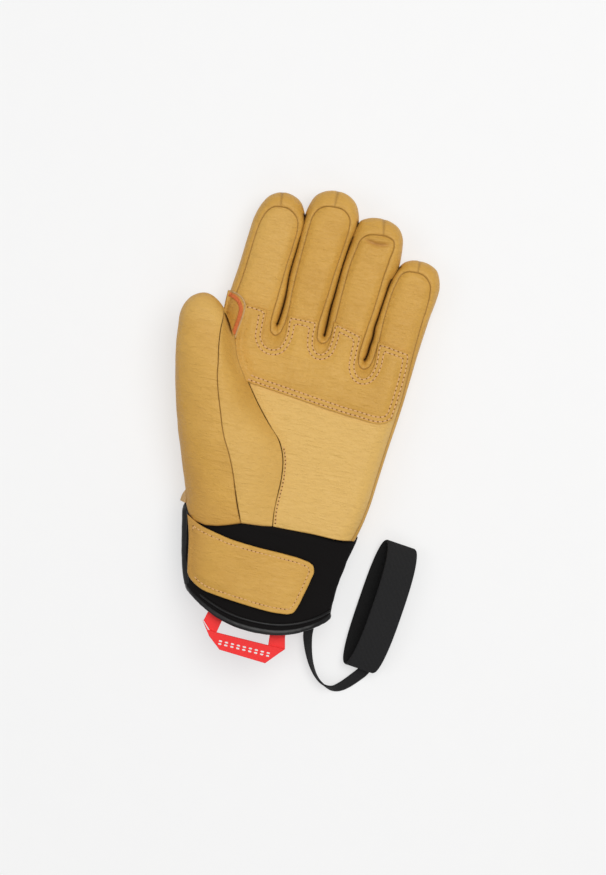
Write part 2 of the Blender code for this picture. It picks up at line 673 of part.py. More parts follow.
def cuff_top(x, y, rise):
    """The height of the cuff's palm side over a place, plus a rise along its normal."""
    left, right, height = line_through(CUFF, y)
    share = (x - (left + right) / 2) / ((right - left) / 2 + rise)
    lift = max(0.0, 1 - min(1.0, abs(share)) ** CUFF_ROUNDNESS) ** (1 / CUFF_ROUNDNESS)
    return CUFF_LIFT + height / 2 + (height / 2 + rise) * lift


def hem_y(angle):
    """Where the cuff's fabric ends, which dips on the palm side."""
    dip = HEM_DIP_PALM if math.sin(math.radians(angle)) > 0 else HEM_DIP_BACK
    return HEM_SIDE_Y - dip * abs(math.sin(math.radians(angle))) ** HEM_SHARPNESS


def build_cuff(hand):
    fabric = material("cuff_fabric", BLACK, 0.8)
    gap = 0.5
    for word, first, last in (("palm", gap, 180 - gap), ("back", 180 + gap, 360 - gap)):
        angles = steps(first, last, 12)
        grids = []
        for inset in (0.0, CUFF_THICKNESS):
            grid = []
            for share in steps(0, 1, 4):
                top = WRIST_Y - 2 * JOINT_GAP
                grid.append([cuff_point(top + (hem_y(a) - top) * share, a, inset) for a in angles])
            grids.append(grid)
        add_node(f"cuff_{word}_panel", *slab(*grids), fabric, hand)

    angles = [360 * i / 24 for i in range(24)]
    grids = []
    for inset in (-BINDING_PROUD, CUFF_THICKNESS + BINDING_PROUD):
        edges = (JOINT_GAP, JOINT_GAP + BINDING_WIDTH)
        grids.append([[cuff_point(hem_y(a) - down, a, inset) for a in angles] for down in edges])
    add_node("cuff_hem_binding", *tube(*grids), material("binding", GLOSS_BLACK, 0.25), hand)


def quad_grid(left, right, across, down, rise):
    """A grid over the cuff between a left and a right edge, each given by its upper and lower end."""
    grid = []
    for v in steps(0, 1, down):
        a = Vector(left[0]).lerp(Vector(left[1]), v)
        b = Vector(right[0]).lerp(Vector(right[1]), v)
        places = [a.lerp(b, u) for u in steps(0, 1, across)]
        grid.append([(p.x, p.y, cuff_top(p.x, p.y, rise)) for p in places])
    return grid


def build_strap():
    middle = (Vector(STRAP_LEFT[0]) + Vector(STRAP_LEFT[1])) / 2
    height = cuff_top(middle.x + 1.0, middle.y, STRAP_RISE + STRAP_THICKNESS)
    pivot = body_pivot("strap", (middle.x - 0.4, middle.y, height))
    edges = (STRAP_LEFT, STRAP_RIGHT, 12, 2)
    top, under = (quad_grid(*edges, rise) for rise in (STRAP_RISE + STRAP_THICKNESS, STRAP_RISE))
    add_node("wrist_strap", *slab(top, under), material("leather_patch", PALE_TAN, 0.5), pivot)
    edges = (HOOK_LEFT, HOOK_RIGHT, 4, 1)
    top, under = (quad_grid(*edges, rise) for rise in (HOOK_RISE + HOOK_THICKNESS, HOOK_RISE))
    add_node("strap_hook_tape", *slab(top, under), material("hook_tape", CHARCOAL, 0.9), pivot)


def build_pull_loop():
    pivot = body_pivot("pull_loop", PULL_LOOP_HINGE)
    outline = [
        (-30.5, -117.5), (-33.8, -126.7), (-24.0, -141.0), (-19.0, -144.3), (10.2, -144.3), (18.2, -135.2),
        (16.8, -126.4), (15.8, -117.5), (7.4, -117.5), (7.8, -126.7), (8.3, -134.0), (-24.2, -132.8),
        (-22.2, -124.4), (-21.6, -117.5),
    ]

    def face(height):
        return lambda x, y: (x, y, height)

    loop = cut_sheet(outline, face(PULL_LOOP_Z + PULL_LOOP_THICKNESS), face(PULL_LOOP_Z), spacing=30.0)
    add_node("pull_loop", *loop, material("red_webbing", RED, 0.7), pivot)


def smooth_route(route, spacing):
    """Points at even spacing on a smooth curve through the route's points."""
    places = [Vector(p) for p in route]
    places = [2 * places[0] - places[1]] + places + [2 * places[-1] - places[-2]]
    fine = []
    for a, b, c, d in zip(places, places[1:], places[2:], places[3:]):
        for t in (i / 8 for i in range(8)):
            bend = (2 * a - 5 * b + 4 * c - d) * t**2 + (3 * b - a - 3 * c + d) * t**3
            fine.append(0.5 * (2 * b + (c - a) * t + bend))
    fine.append(places[-2])
    kept = [fine[0]]
    for p in fine[1:-1]:
        if (p - kept[-1]).length >= spacing and (p - fine[-1]).length > 0.5 * spacing:
            kept.append(p)
    return kept + [fine[-1]]


def build_leash():
    pivot = body_pivot("leash", LEASH_ROUTE[0])
    route = [scale_to_metres(p) - pivot.location for p in smooth_route(LEASH_ROUTE, 4.5)]
    curve = bpy.data.curves.new("leash_tape", "CURVE")
    curve.dimensions = "3D"
    curve.bevel_depth = scale_to_metres((LEASH_WIDTH / 2, 0, 0)).x
    curve.bevel_resolution = 2
    curve.use_fill_caps = True
    spline = curve.splines.new("POLY")
    spline.points.add(len(route) - 1)
    for point, place in zip(spline.points, route):
        point.co = (*place, 1.0)
    elastic = material("elastic_webbing", CHARCOAL, 0.85)
    curve.materials.append(elastic)
    tape = bpy.data.objects.new("leash_tape", curve)
    bpy.context.scene.collection.objects.link(tape)
    tape.parent = pivot

    along = Vector((math.sin(LOOP_LEAN), math.cos(LOOP_LEAN), 0))
    across = Vector((math.cos(LOOP_LEAN), -math.sin(LOOP_LEAN), 0))
    grids = []
    for inset in (0.0, LOOP_BAND):
        rows = []
        for side in (-0.5, 0.5):
            ring = []
            for i in range(24):
                turn = 2 * math.pi * i / 24
                length = (LOOP_HALF_LENGTH - inset) * power(math.cos(turn), LOOP_ROUNDNESS)
                height = (LOOP_HALF_HEIGHT - inset) * power(math.sin(turn), LOOP_ROUNDNESS)
                shift = side * LOOP_WIDTH + LOOP_SHEAR * math.sin(turn)
                ring.append(Vector(LOOP_CENTRE) + along * length + across * shift + Vector((0, 0, height)))
            rows.append(ring)
        grids.append(rows)
    add_node("wrist_loop", *tube(*grids), elastic, pivot)


# ---------------------------------------------------------------- the glove
def build_glove():
    for old in list(bpy.data.objects):
        bpy.data.objects.remove(old)
    hand = body_pivot("hand", (0, 0, 0))
    build_hand(hand)
    build_crotches(hand)
    for name in FINGERS:
        build_finger(name)
    build_thumb(hand)
    build_cuff(hand)
    build_strap()
    build_pull_loop()
    build_leash()


build_glove()
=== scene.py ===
"""Leather ski glove for the left hand, lying on its back with the palm up: the looks around the CAD frame.

Lengths are in millimetres in the CAD's frame, and go through `metres` where they meet Blender.
"""

import math

import bpy
import numpy as np
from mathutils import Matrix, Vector, noise
from mathutils.geometry import delaunay_2d_cdt


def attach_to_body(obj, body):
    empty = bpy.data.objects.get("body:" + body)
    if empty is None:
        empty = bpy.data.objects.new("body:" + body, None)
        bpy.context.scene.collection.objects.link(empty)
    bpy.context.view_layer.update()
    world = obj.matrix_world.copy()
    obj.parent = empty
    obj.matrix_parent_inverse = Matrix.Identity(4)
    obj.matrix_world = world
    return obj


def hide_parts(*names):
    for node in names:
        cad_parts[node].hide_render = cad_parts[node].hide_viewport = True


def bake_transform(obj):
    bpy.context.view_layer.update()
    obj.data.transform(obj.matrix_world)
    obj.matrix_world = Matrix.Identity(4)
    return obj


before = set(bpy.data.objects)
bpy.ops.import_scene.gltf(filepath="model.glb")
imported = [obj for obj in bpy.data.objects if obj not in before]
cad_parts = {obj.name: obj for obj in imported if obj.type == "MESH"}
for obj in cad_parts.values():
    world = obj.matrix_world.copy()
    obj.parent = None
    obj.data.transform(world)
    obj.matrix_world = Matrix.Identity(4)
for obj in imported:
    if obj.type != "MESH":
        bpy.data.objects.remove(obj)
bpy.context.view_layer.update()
scene = bpy.context.scene

# ---------------------------------------------------------------- camera, light and floor
VIEW_CENTRE = (2.8, -4.6)  # the point of the glove in the middle of the picture
VIEW_HEIGHT = 538.0  # what the picture's long side takes in, at the glove's height
VIEW_TURN = math.radians(12)
LENS, SENSOR = 85.0, 36.0
MIDDLE_Z = 20.0


def metres(points):
    return np.asarray(points, float) * 0.001


def make_camera():
    data = bpy.data.cameras.new("camera")
    data.lens, data.sensor_width = LENS, SENSOR
    camera = bpy.data.objects.new("camera", data)
    distance = VIEW_HEIGHT * LENS / SENSOR
    camera.location = metres((*VIEW_CENTRE, MIDDLE_Z + distance))
    camera.rotation_euler = (0, 0, VIEW_TURN)
    scene.collection.objects.link(camera)
    scene.camera = camera


def make_lights():
    """Soft boxes that point at the glove's middle, and a white world."""
    # place and size in metres, power, colour
    boxes = (
        ((0.3, 0.4, 1.4), 1.3, 14.0, (1.0, 0.99, 0.97)),
        ((-0.9, -0.2, 1.2), 0.9, 2.6, (0.97, 0.985, 1.0)),
        ((0.5, -1.0, 1.1), 0.8, 1.8, (1.0, 1.0, 1.0)),
    )
    for number, (location, size, watts, colour) in enumerate(boxes):
        data = bpy.data.lights.new(f"soft_box_{number}", "AREA")
        data.shape, data.size = "DISK", size
        data.energy, data.color = watts, colour
        light = bpy.data.objects.new(f"soft_box_{number}", data)
        light.location = location
        way = Vector((0, 0, MIDDLE_Z * 0.001)) - Vector(location)
        light.rotation_euler = way.to_track_quat("-Z", "Y").to_euler()
        scene.collection.objects.link(light)
    world = bpy.data.worlds.new("studio")
    scene.world = world
    world.use_nodes = True
    background = world.node_tree.nodes["Background"]
    background.inputs["Color"].default_value = (0.98, 0.985, 1.0, 1.0)
    background.inputs["Strength"].default_value = 0.33
    scene.view_settings.view_transform = "Standard"


make_camera()
make_lights()


# ---------------------------------------------------------------- number tools
def smooth_line(points, spacing=0.8):
    """Points about evenly spaced on a smooth curve through the given ones."""
    given = np.array(points, float)
    steps = np.diff(given, axis=0)
    chord = np.linalg.norm(steps, axis=1)
    knots = np.concatenate([[0], np.cumsum(chord)])
    slopes = steps / chord[:, None]
    tangents = np.empty_like(given)
    share = (chord[1:] / (chord[1:] + chord[:-1]))[:, None]
    tangents[1:-1] = slopes[:-1] * share + slopes[1:] * (1 - share)
    tangents[0], tangents[-1] = slopes[0], slopes[-1]
    places = np.linspace(0, knots[-1], max(2, round(knots[-1] / spacing)) + 1)
    i = np.clip(np.searchsorted(knots, places, "right") - 1, 0, len(chord) - 1)
    t = ((places - knots[i]) / chord[i])[:, None]
    size = chord[i][:, None]
    return (
        (2 * t**3 - 3 * t**2 + 1) * given[i]
        + (t**3 - 2 * t**2 + t) * size * tangents[i]
        + (3 * t**2 - 2 * t**3) * given[i + 1]
        + (t**3 - t**2) * size * tangents[i + 1]
    )


def chain(*parts, spacing=0.8):
    """One closed outline from several smooth stretches, with corners where they meet."""
    stretches = [smooth_line(part, spacing) for part in parts]
    points = stretches[:1]
    for part in stretches[1:]:
        gap = np.linalg.norm(part[0] - points[-1][-1])
        points.append(part[1:] if gap < 1e-6 else part)
    outline = np.vstack(points)
    if np.linalg.norm(outline[0] - outline[-1]) < 1e-6:
        outline = outline[:-1]
    return outline


def ease(x):
    x = np.clip(x, 0, 1)
    return x * x * (3 - 2 * x)


def power(value, exponent):
    return np.sign(value) * np.abs(value) ** exponent


def rough(points, sizes, seed=0.0):
    """Smooth noise from -1 to 1 at each point. sizes are the lengths of its lumps along x, y and z."""
    scaled = np.asarray(points, float) / np.asarray(sizes, float) + seed
    return np.array([noise.noise(p) for p in scaled])


def bell(x, width):
    """1 at 0, falling off smoothly to both sides."""
    return np.exp(-((x / width) ** 2))


def unit(vectors):
    """The vectors, one in each row, made one long."""
    return vectors / np.linalg.norm(vectors, axis=1)[:, None]


def arc_drop(share, radius):
    """How far a quarter circle has fallen at a share of its radius."""
    return radius * (1 - np.sqrt(1 - share**2))


def gone_along(grid, axis=1):
    """How far each point of a grid is from its first column, or from its first row with axis 0."""
    steps = np.linalg.norm(np.diff(grid, axis=axis), axis=2)
    start = np.zeros_like(np.take(grid[..., 0], [0], axis))
    return np.concatenate([start, np.cumsum(steps, axis)], axis)


def flat_rough(x, y, sizes, seed):
    """rough, over flat places."""
    return rough(np.column_stack([x, y, 0 * x]), sizes, seed)


# ---------------------------------------------------------------- the hand's outlines
NAMES = ("index", "middle", "ring", "little")
INDEX_PATCH_EDGE = (
    (-50.6, 46), (-50.3, 49), (-49.5, 55.5), (-48.6, 62.7), (-49, 67.7), (-51.8, 71.4), (-56.4, 73.6),
    (-61, 74.4),
)
CORAL_LINE = (
    (-51.9, 48.6), (-51.2, 54), (-50.6, 60), (-50.9, 65.4), (-53.4, 69.2), (-57, 71.4), (-59.6, 72.3),
)
# the dark lines where two fingers touch, from the crotch up
GAPS = (
    ((-27.2, 60), (-26.4, 65.5), (-25.6, 78), (-26.2, 91), (-24.9, 111), (-24.3, 128)),
    ((2.7, 59), (2.9, 66), (2.9, 77), (3.5, 84), (4.1, 95), (5, 107), (6.4, 118), (8.6, 130)),
    (
        (30, 49.5), (30.9, 53), (31.4, 59), (32.2, 65.5), (31.9, 70), (32.7, 77), (34, 88), (35.9, 101),
        (38.3, 108),
    ),
)
RADIAL_SIDE = ((-60.6, 40), (-60.4, 60), (-59.5, 74), (-57.4, 92), (-55.7, 112), (-54.4, 123))
ULNAR_SIDE = (
    (65.3, 95.5), (63.6, 84.5), (62.3, 73), (60.9, 59), (59.5, 41), (57.7, 21), (55, -2), (53, -22),
    (51.4, -38), (49.3, -50), (45.6, -64),
)
# each fingertip's outline, from left to right
TIPS = {
    "index": ((-51.8, 131), (-47.9, 137), (-40.9, 140.5), (-34.5, 140), (-29, 137), (-25.7, 131.5)),
    "middle": (
        (-22.7, 137), (-20, 143), (-15.5, 146.4), (-8.5, 148.2), (-0.9, 147), (4.5, 143), (7.3, 137.5),
    ),
    "ring": (
        (10.3, 133.5), (13.6, 135.5), (22, 137.2), (28.2, 136.4), (33.6, 133.6), (36.8, 129), (38.3, 121),
        (38.7, 114),
    ),
    "little": ((42.3, 114), (46.4, 116), (51, 116.5), (57.3, 115.5), (61.8, 113), (64.5, 108), (65.7, 103)),
}
TIP_START = {"index": 122, "middle": 130, "ring": 119, "little": 99}  # y where a fingertip begins to round
ROOT_Y = {"index": 75, "middle": 69, "ring": 70.5, "little": 63.5}
MIDDLE_Y = {"index": 108, "middle": 109, "ring": 104, "little": 90}
# the seam round the palm's leather, round every fingertip and crotch, from the index finger's outside on
SEAM = {
    "index": (
        (-57.6, 60), (-56.7, 68), (-55.5, 75.5), (-54, 86), (-52.7, 100), (-51.4, 114), (-49.8, 122),
        (-47.4, 127.2), (-44.6, 129.9), (-40, 131), (-35.5, 130.9), (-31, 128.6), (-28.2, 125.5),
        (-27, 120), (-27.5, 110), (-29, 95), (-29.7, 84), (-30.5, 73), (-31.1, 64), (-30.9, 58.5),
    ),
    "middle": (
        (-29.8, 54.9), (-27.3, 53.2), (-24.8, 54.8), (-23.5, 58.6), (-22.3, 68), (-22.5, 82), (-22.1, 95),
        (-21.4, 110), (-20.5, 123), (-19.5, 130), (-17.3, 134.2), (-13.6, 136.7), (-8, 137.6),
        (-2.7, 137.3), (0.9, 135.3), (3.2, 132.5), (4.0, 127), (3.6, 120), (2.3, 109), (0.7, 95),
        (-0.2, 84.5), (-1.4, 73), (-2.1, 64.5), (-1.8, 59.8),
    ),
    "ring": (
        (-0.8, 56), (1.8, 54.4), (4.3, 55.6), (5.8, 58.9), (6.8, 64.5), (7.4, 74.5), (7.7, 84.5),
        (8.2, 95), (9.1, 106), (10.7, 115.5), (12.5, 122), (15.6, 124.9), (21, 126.3), (29.4, 126.2),
        (32.3, 124.8), (33.2, 122), (32.3, 114), (30.9, 103), (30, 91), (28.9, 79), (27.5, 68),
        (26.4, 59), (26.1, 50.5),
    ),
    "little": (
        (27.3, 46), (30, 44.2), (32.8, 45.6), (34.3, 48.8), (35.1, 53.5), (35.9, 61), (36.2, 73),
        (36.8, 84.5), (37.7, 93.6), (39.3, 101), (41.2, 106), (43.8, 108.1), (48, 108.8), (52.7, 108.6),
        (56.8, 106.6), (59.6, 103.4), (60.9, 97), (60.7, 88), (59.8, 79), (59.2, 70), (58.6, 59),
    ),
}
TIP_SEAM_X = {"index": -40, "middle": -8, "ring": 25.4, "little": 51}
STRIP_SHIFT = {"index": 0.0, "middle": 0.0, "ring": 4.0, "little": 0.0}  # turns a fingertip's short seam
ULNAR_SEAM = (
    (58.2, 45), (57.4, 30), (56.3, 20), (53.9, -2), (51.9, -22), (50.3, -38), (48.1, -50), (45.0, -60.5),
)
WRIST_SEAM = ((45.0, -60.5), (41, -61.1), (21, -61.2), (-4, -61.8))
THUMB_SEAM = (
    (-4, -61.8), (-5, -54), (-5, -30), (-5.8, -23), (-8.2, -15), (-11.5, -9), (-15.5, -5), (-20, 0),
    (-30, 12), (-37, 21.5),
)
HIDDEN_SEAM = ((-37, 21.5), (-44, 30), (-50.5, 44), (-57.6, 60))

side_lines = {}
for number, name in enumerate(NAMES):
    left = RADIAL_SIDE if number == 0 else GAPS[number - 1]
    right = ULNAR_SIDE if number == 3 else GAPS[number][::-1]
    side_lines[name] = smooth_line([*left, *TIPS[name], *right], 0.5)


def split_sides(name):
    """A finger's silhouette as two curves of x over y, up to where the tip begins."""
    line = side_lines[name]
    top = int(np.argmax(line[:, 1]))
    return line[: top + 1], line[top:][::-1]


side_curves = {name: split_sides(name) for name in NAMES}
crotch_x = [gap[0][0] for gap in GAPS]
crotch_y = [gap[0][1] for gap in GAPS]


def side_x(name, side, y):
    line = side_curves[name][side]
    return np.interp(y, line[:, 1], line[:, 0])


def tip_centre(name):
    y = TIP_START[name]
    return np.array([(side_x(name, 0, y) + side_x(name, 1, y)) / 2, y])


def tip_reach(name, shift=0.0):
    """Angles and distances of the silhouette from the fingertip's centre, or from a place beside it."""
    centre = tip_centre(name) + (shift, 0)
    line = side_lines[name]
    line = line[line[:, 1] >= centre[1] - 0.3] - centre
    angles = np.arctan2(np.maximum(line[:, 1], 0), line[:, 0])
    order = np.argsort(angles)
    return angles[order], np.linalg.norm(line, axis=1)[order]


reaches = {name: tip_reach(name) for name in NAMES}
strip_reaches = {name: tip_reach(name, STRIP_SHIFT[name]) for name in NAMES}


def finger_of(x, y):
    """The number of the finger whose column each place is in."""
    found = np.zeros(np.shape(x), int)
    for gap in GAPS:
        edge = np.interp(y, [p[1] for p in gap], [p[0] for p in gap])
        found += x > edge
    return found


def edge_share(x, y):
    """How far each place is from its finger's axis: 0 on it and 1 on the silhouette."""
    x, y = np.asarray(x, float), np.asarray(y, float)
    share = np.zeros(x.shape)
    number = finger_of(x, y)
    for i, name in enumerate(NAMES):
        here = number == i
        left, right = side_x(name, 0, y[here]), side_x(name, 1, y[here])
        straight = np.abs(x[here] - (left + right) / 2) / np.maximum((right - left) / 2, 1)
        centre = tip_centre(name)
        dx, dy = x[here] - centre[0], y[here] - centre[1]
        angles, distances = reaches[name]
        round_share = np.hypot(dx, dy) / np.interp(np.arctan2(np.maximum(dy, 0), dx), angles, distances)
        share[here] = np.where(dy > 0, round_share, straight)
    return share


ROUNDNESS = 2.6
FINGER_MID, FINGER_HALF = 12.4, 12.0  # the height of a finger's middle, and half its thickness
PALM_EDGE_RADIUS, BACK_EDGE_RADIUS = 13, 11
RADIAL_EDGE_X = -46  # where the palm begins to turn down beside the thumb


def fingerness(x, y):
    """0 in the palm and 1 in the fingers."""
    start = np.interp(x, [-60, -27.3, 1.8, 30, 60], [52, 53, 54, 44, 41]) - 13
    return ease((y - start) / 25)


def ulnar_x(y):
    return side_x("little", 1, y)


def palm_top(y):
    return 29.6 - 0.042 * y


def finger_bulge(x, y):
    """How far a finger's skin is from its middle height at each place."""
    share = np.minimum(edge_share(x, y), 0.93)
    return FINGER_HALF * (1 - share**ROUNDNESS) ** (1 / ROUNDNESS)


def ulnar_turn(x, y, radius):
    """How far each place is into the turn round the little finger's side."""
    return np.clip((x - ulnar_x(y) + radius) / radius, 0, 0.99)


def front_height(x, y):
    """Height of the palm's leather and the fingers' fronts."""
    x, y = np.asarray(x, float), np.asarray(y, float)
    f = fingerness(x, y)
    radial = np.clip((RADIAL_EDGE_X - x) / PALM_EDGE_RADIUS, 0, 0.8)
    palm = palm_top(y) - arc_drop(ulnar_turn(x, y, PALM_EDGE_RADIUS), PALM_EDGE_RADIUS)
    palm = palm - arc_drop(radial, PALM_EDGE_RADIUS)
    return palm * (1 - f) + (FINGER_MID + finger_bulge(x, y)) * f


def back_height(x, y):
    x, y = np.asarray(x, float), np.asarray(y, float)
    f = fingerness(x, y)
    radial = 13 * (np.maximum(0, RADIAL_EDGE_X - x) / 27) ** 1.7
    palm = 0.2 + arc_drop(ulnar_turn(x, y, BACK_EDGE_RADIUS), BACK_EDGE_RADIUS) + radial
    return palm * (1 - f) + (FINGER_MID - finger_bulge(x, y)) * f


# ---------------------------------------------------------------- mesh tools
ROLL = 0.7  # radius of the leather's turn into a seam


def roll(distance, radius=ROLL):
    """How far the leather has sunk at a distance from its seam."""
    return arc_drop(1 - np.clip(distance / radius, 0, 1), radius)


class Skin:
    """A surface: points, faces as rows of point numbers, how near each point is to a seam (1 on it, above 1
    between touching fingers), which sets its painted seam shade, and its
    tone: 1 where it is paler, 0 where it is usual and -1 where it is darker, from the dye's own changes and
    from painted highlight and shade."""

    def __init__(self, points, faces, seam=None, tone=None):
        self.points = np.asarray(points, float)
        self.faces = np.asarray(faces, int)
        self.seam = np.zeros(len(self.points)) if seam is None else np.asarray(seam, float)
        self.tone = np.zeros(len(self.points)) if tone is None else np.asarray(tone, float)
        self.find_normals()

    def find_normals(self):
        corners = self.points[self.faces]
        cross = np.cross(corners[:, 2] - corners[:, 0], corners[:, -1] - corners[:, 1])
        if self.faces.shape[1] == 3:
            cross = np.cross(corners[:, 1] - corners[:, 0], corners[:, 2] - corners[:, 0])
        normals = np.zeros_like(self.points)
        for column in self.faces.T:
            np.add.at(normals, column, cross)
        self.normals = normals / np.maximum(np.linalg.norm(normals, axis=1), 1e-9)[:, None]

    def push(self, amount):
        self.points = self.points + self.normals * np.asarray(amount)[:, None]
        self.find_normals()
        return self

    def flip(self):
        self.faces = self.faces[:, ::-1]
        self.normals = -self.normals
        return self

    def centres(self):
        return self.points[self.faces].mean(1)


def painted_seam_shade(distance, width=0.4):
    # How strongly painted shade darkens the leather at a distance from its seam.
    return bell(distance, width)


def facing_out(skin, centres):
    """The skin, turned if need be to face away from its centres."""
    return skin if ((skin.points - centres) * skin.normals).sum() > 0 else skin.flip()


def to_object(name, skin, finish, keep=None):
    """A Blender mesh of a skin, or of the faces of it that are kept."""
    faces = skin.faces if keep is None else skin.faces[keep]
    used, index = np.unique(faces, return_inverse=True)
    faces = index.reshape(faces.shape)
    mesh = bpy.data.meshes.new(name)
    mesh.from_pydata(metres(skin.points[used]).tolist(), [], faces.tolist())
    mesh.shade_smooth()
    for word, values in (("seam", skin.seam), ("tone", skin.tone)):
        mesh.attributes.new(word, "FLOAT", "POINT").data.foreach_set("value", values[used].astype(np.float32))
    mesh.materials.append(finish)
    mesh.normals_split_custom_set_from_vertices(skin.normals[used].tolist())
    piece = bpy.data.objects.new(name, mesh)
    scene.collection.objects.link(piece)
    return piece


def place(name, skin, finish, body, slot, *nodes, sharp=None):
    """Makes a piece that rides on one body. It stands for the CAD nodes that are named, if any."""
    piece = to_object(name, skin, finish)
    if sharp:
        piece.data.set_sharp_from_angle(angle=math.radians(sharp))
    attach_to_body(piece, body)
    if nodes:
        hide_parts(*nodes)
    return piece


def inside(outline, points):
    x, y = points[:, 0], points[:, 1]
    hit = np.zeros(len(points), bool)
    for (x0, y0), (x1, y1) in zip(outline, np.roll(outline, -1, axis=0)):
        if y0 != y1:
            hit ^= ((y0 > y) != (y1 > y)) & (x < x0 + (y - y0) * (x1 - x0) / (y1 - y0))
    return hit


def signed_area(outline):
    """Twice the area inside an outline, negative if it runs clockwise."""
    x, y = outline.T
    return np.sum(x * np.roll(y, -1) - np.roll(x, -1) * y)


def inward(outline):
    """Unit vectors from each of an outline's points to its inside."""
    way = np.roll(outline, -1, axis=0) - np.roll(outline, 1, axis=0)
    return unit(np.stack([-way[:, 1], way[:, 0]], 1)) * math.copysign(1, signed_area(outline))


def distance_to(outline, points, closed=True):
    """Distance of each point from a line drawn through the outline's points."""
    ends = np.roll(outline, -1, axis=0) if closed else outline[1:]
    starts = outline if closed else outline[:-1]
    best = np.full(len(points), 1e9)
    for a, b in zip(starts, ends):
        way = b - a
        share = np.clip((points - a) @ way / max(way @ way, 1e-12), 0, 1)
        best = np.minimum(best, np.hypot(*(points - a - share[:, None] * way).T))
    return best


RINGS = (0.14, 0.32, 0.55, 0.85, 1.35)  # how deep inside an outline its rows of points are


def fill_outline(outline, spacing):
    """The flat region inside an outline, finer near its edge: points, triangles and distances to the edge."""
    side = inward(outline)
    kept = [outline]
    for depth in RINGS:
        ring = outline + side * depth
        kept.append(ring[distance_to(outline, ring) > 0.96 * depth])
    low, high = outline.min(0), outline.max(0)
    across = np.arange(low[0], high[0], spacing)
    up = np.arange(low[1], high[1], spacing * 0.866)
    grid = np.array([(x + (j % 2) * spacing / 2, y) for j, y in enumerate(up) for x in across])
    grid = grid[inside(outline, grid)]
    kept.append(grid[distance_to(outline, grid) > RINGS[-1] + 0.5 * spacing])
    points = np.vstack(kept)
    rim = [(i, (i + 1) % len(outline)) for i in range(len(outline))]
    flat, _, faces, *_ = delaunay_2d_cdt([Vector(p) for p in points], rim, [], 1, 1e-5)
    flat = np.array([tuple(p) for p in flat])
    return flat, np.array(faces), distance_to(outline, flat)


def grid_faces(rows, columns, closed=False):
    """Quads of a grid of points. A closed one joins its last column to its first."""
    r, c = np.meshgrid(np.arange(rows - 1), np.arange(columns - (not closed)), indexing="ij")
    r, c = r.ravel(), c.ravel()
    d = (c + 1) % columns
    return np.stack([r * columns + c, r * columns + d, (r + 1) * columns + d, (r + 1) * columns + c], 1)


def grid_skin(grid, seam=None, closed=False):
    rows, columns = grid.shape[:2]
    seam = None if seam is None else seam.ravel()
    return Skin(grid.reshape(-1, 3), grid_faces(rows, columns, closed), seam)


def ring_skin(grid):
    """The skin of a grid that closes on itself both ways."""
    rows, columns = grid.shape[:2]
    wrap = grid_faces(2, columns, True)
    wrap = np.where(wrap < columns, wrap + (rows - 1) * columns, wrap - columns)
    return Skin(grid.reshape(-1, 3), np.vstack([grid_faces(rows, columns, True), wrap]))


def joined(skins):
    starts = np.cumsum([0] + [len(skin.points) for skin in skins])
    return Skin(
        np.vstack([skin.points for skin in skins]),
        np.vstack([skin.faces + start for skin, start in zip(skins, starts)]),
        np.concatenate([skin.seam for skin in skins]),
        np.concatenate([skin.tone for skin in skins]),
    )


def even(line, pitch, closed):
    """Places one pitch apart along a line."""
    if closed:
        line = np.vstack([line, line[:1]])
    steps = np.linalg.norm(np.diff(line, axis=0), axis=1)
    gone = np.concatenate([[0], np.cumsum(steps)])
    places = np.linspace(0, gone[-1], max(2, round(gone[-1] / pitch)) + 1)
    return np.column_stack([np.interp(places, gone, column) for column in line.T])


def inner_line(outline, depth):
    """A closed line inside an outline, everywhere the same distance from it."""
    line = outline + inward(outline) * depth
    return line[distance_to(outline, line) > 0.985 * depth]


# a bar's rings from end to end: place along it from -1 to 1, and share of its full radius
BAR_RINGS = ((-1, 0.12), (-0.86, 0.7), (-0.5, 1), (0.5, 1), (0.86, 0.7), (1, 0.12))
BAR_SIDES = 8


def capsules(starts, ends, radius, height):
    """One skin of many short round bars, each from a start to an end."""
    way = ends - starts
    length = np.linalg.norm(way, axis=1)[:, None]
    way = way / length
    side = unit(np.cross(way, (0, 0, 1.0)))
    up = np.cross(side, way)
    middle = (starts + ends) / 2
    points = []
    for u, size in BAR_RINGS:
        centre = middle + way * u * length / 2
        for turn in np.linspace(0, 2 * math.pi, BAR_SIDES, endpoint=False):
            points.append(centre + size * (side * radius * math.cos(turn) + up * height * math.sin(turn)))
    points = np.stack(points, 1)
    each = len(BAR_RINGS) * BAR_SIDES
    faces = grid_faces(len(BAR_RINGS), BAR_SIDES, True)[None] + (np.arange(len(starts)) * each)[:, None, None]
    return facing_out(Skin(points.reshape(-1, 3), faces.reshape(-1, 4)), np.repeat(middle, each, axis=0))


def route_frame(route):
    """Unit vectors level across a route, and up from it."""
    way = unit(np.gradient(route, axis=0))
    side = unit(np.cross(way, (0, 0, 1.0)))
    return side, np.cross(side, way)


def tube(route, radius, around=8):
    side, up = route_frame(route)
    from_end = np.minimum(np.arange(len(route)), np.arange(len(route))[::-1])
    size = radius * np.minimum(1, 0.3 + from_end * 0.5)
    turns = np.linspace(0, 2 * math.pi, around, endpoint=False)
    ring = [route + (side * math.cos(t) + up * math.sin(t)) * size[:, None] for t in turns]
    return facing_out(grid_skin(np.stack(ring, 1), closed=True), np.repeat(route, around, axis=0))


def thread_row(name, places, height_at, body, share=0.7, radius=0.5):
    """A row of stitches over the surface, with a dark disc of painted shade at the needle hole between each
    two.
    """
    steps = np.linalg.norm(np.diff(places, axis=0), axis=1)
    near = steps < 1.6 * np.median(steps)
    a, b = places[:-1][near], places[1:][near]
    middle, half = (a + b) / 2, (b - a) / 2
    ends = [np.column_stack([p, height_at(p) + 0.12]) for p in (middle - half * share, middle + half * share)]
    place(name, capsules(*ends, radius, radius * 0.8), THREAD, body, "leather_patch")
    # Dark flat discs that paint the shade in each needle hole.
    holes = np.column_stack([a, height_at(a)])
    reach = np.column_stack([half * 0.36, 0 * half[:, 0]])
    place(f"{name}_holes", capsules(holes - reach, holes + reach, 0.5, 0.2), HOLE_SHADE, body, "leather_patch")


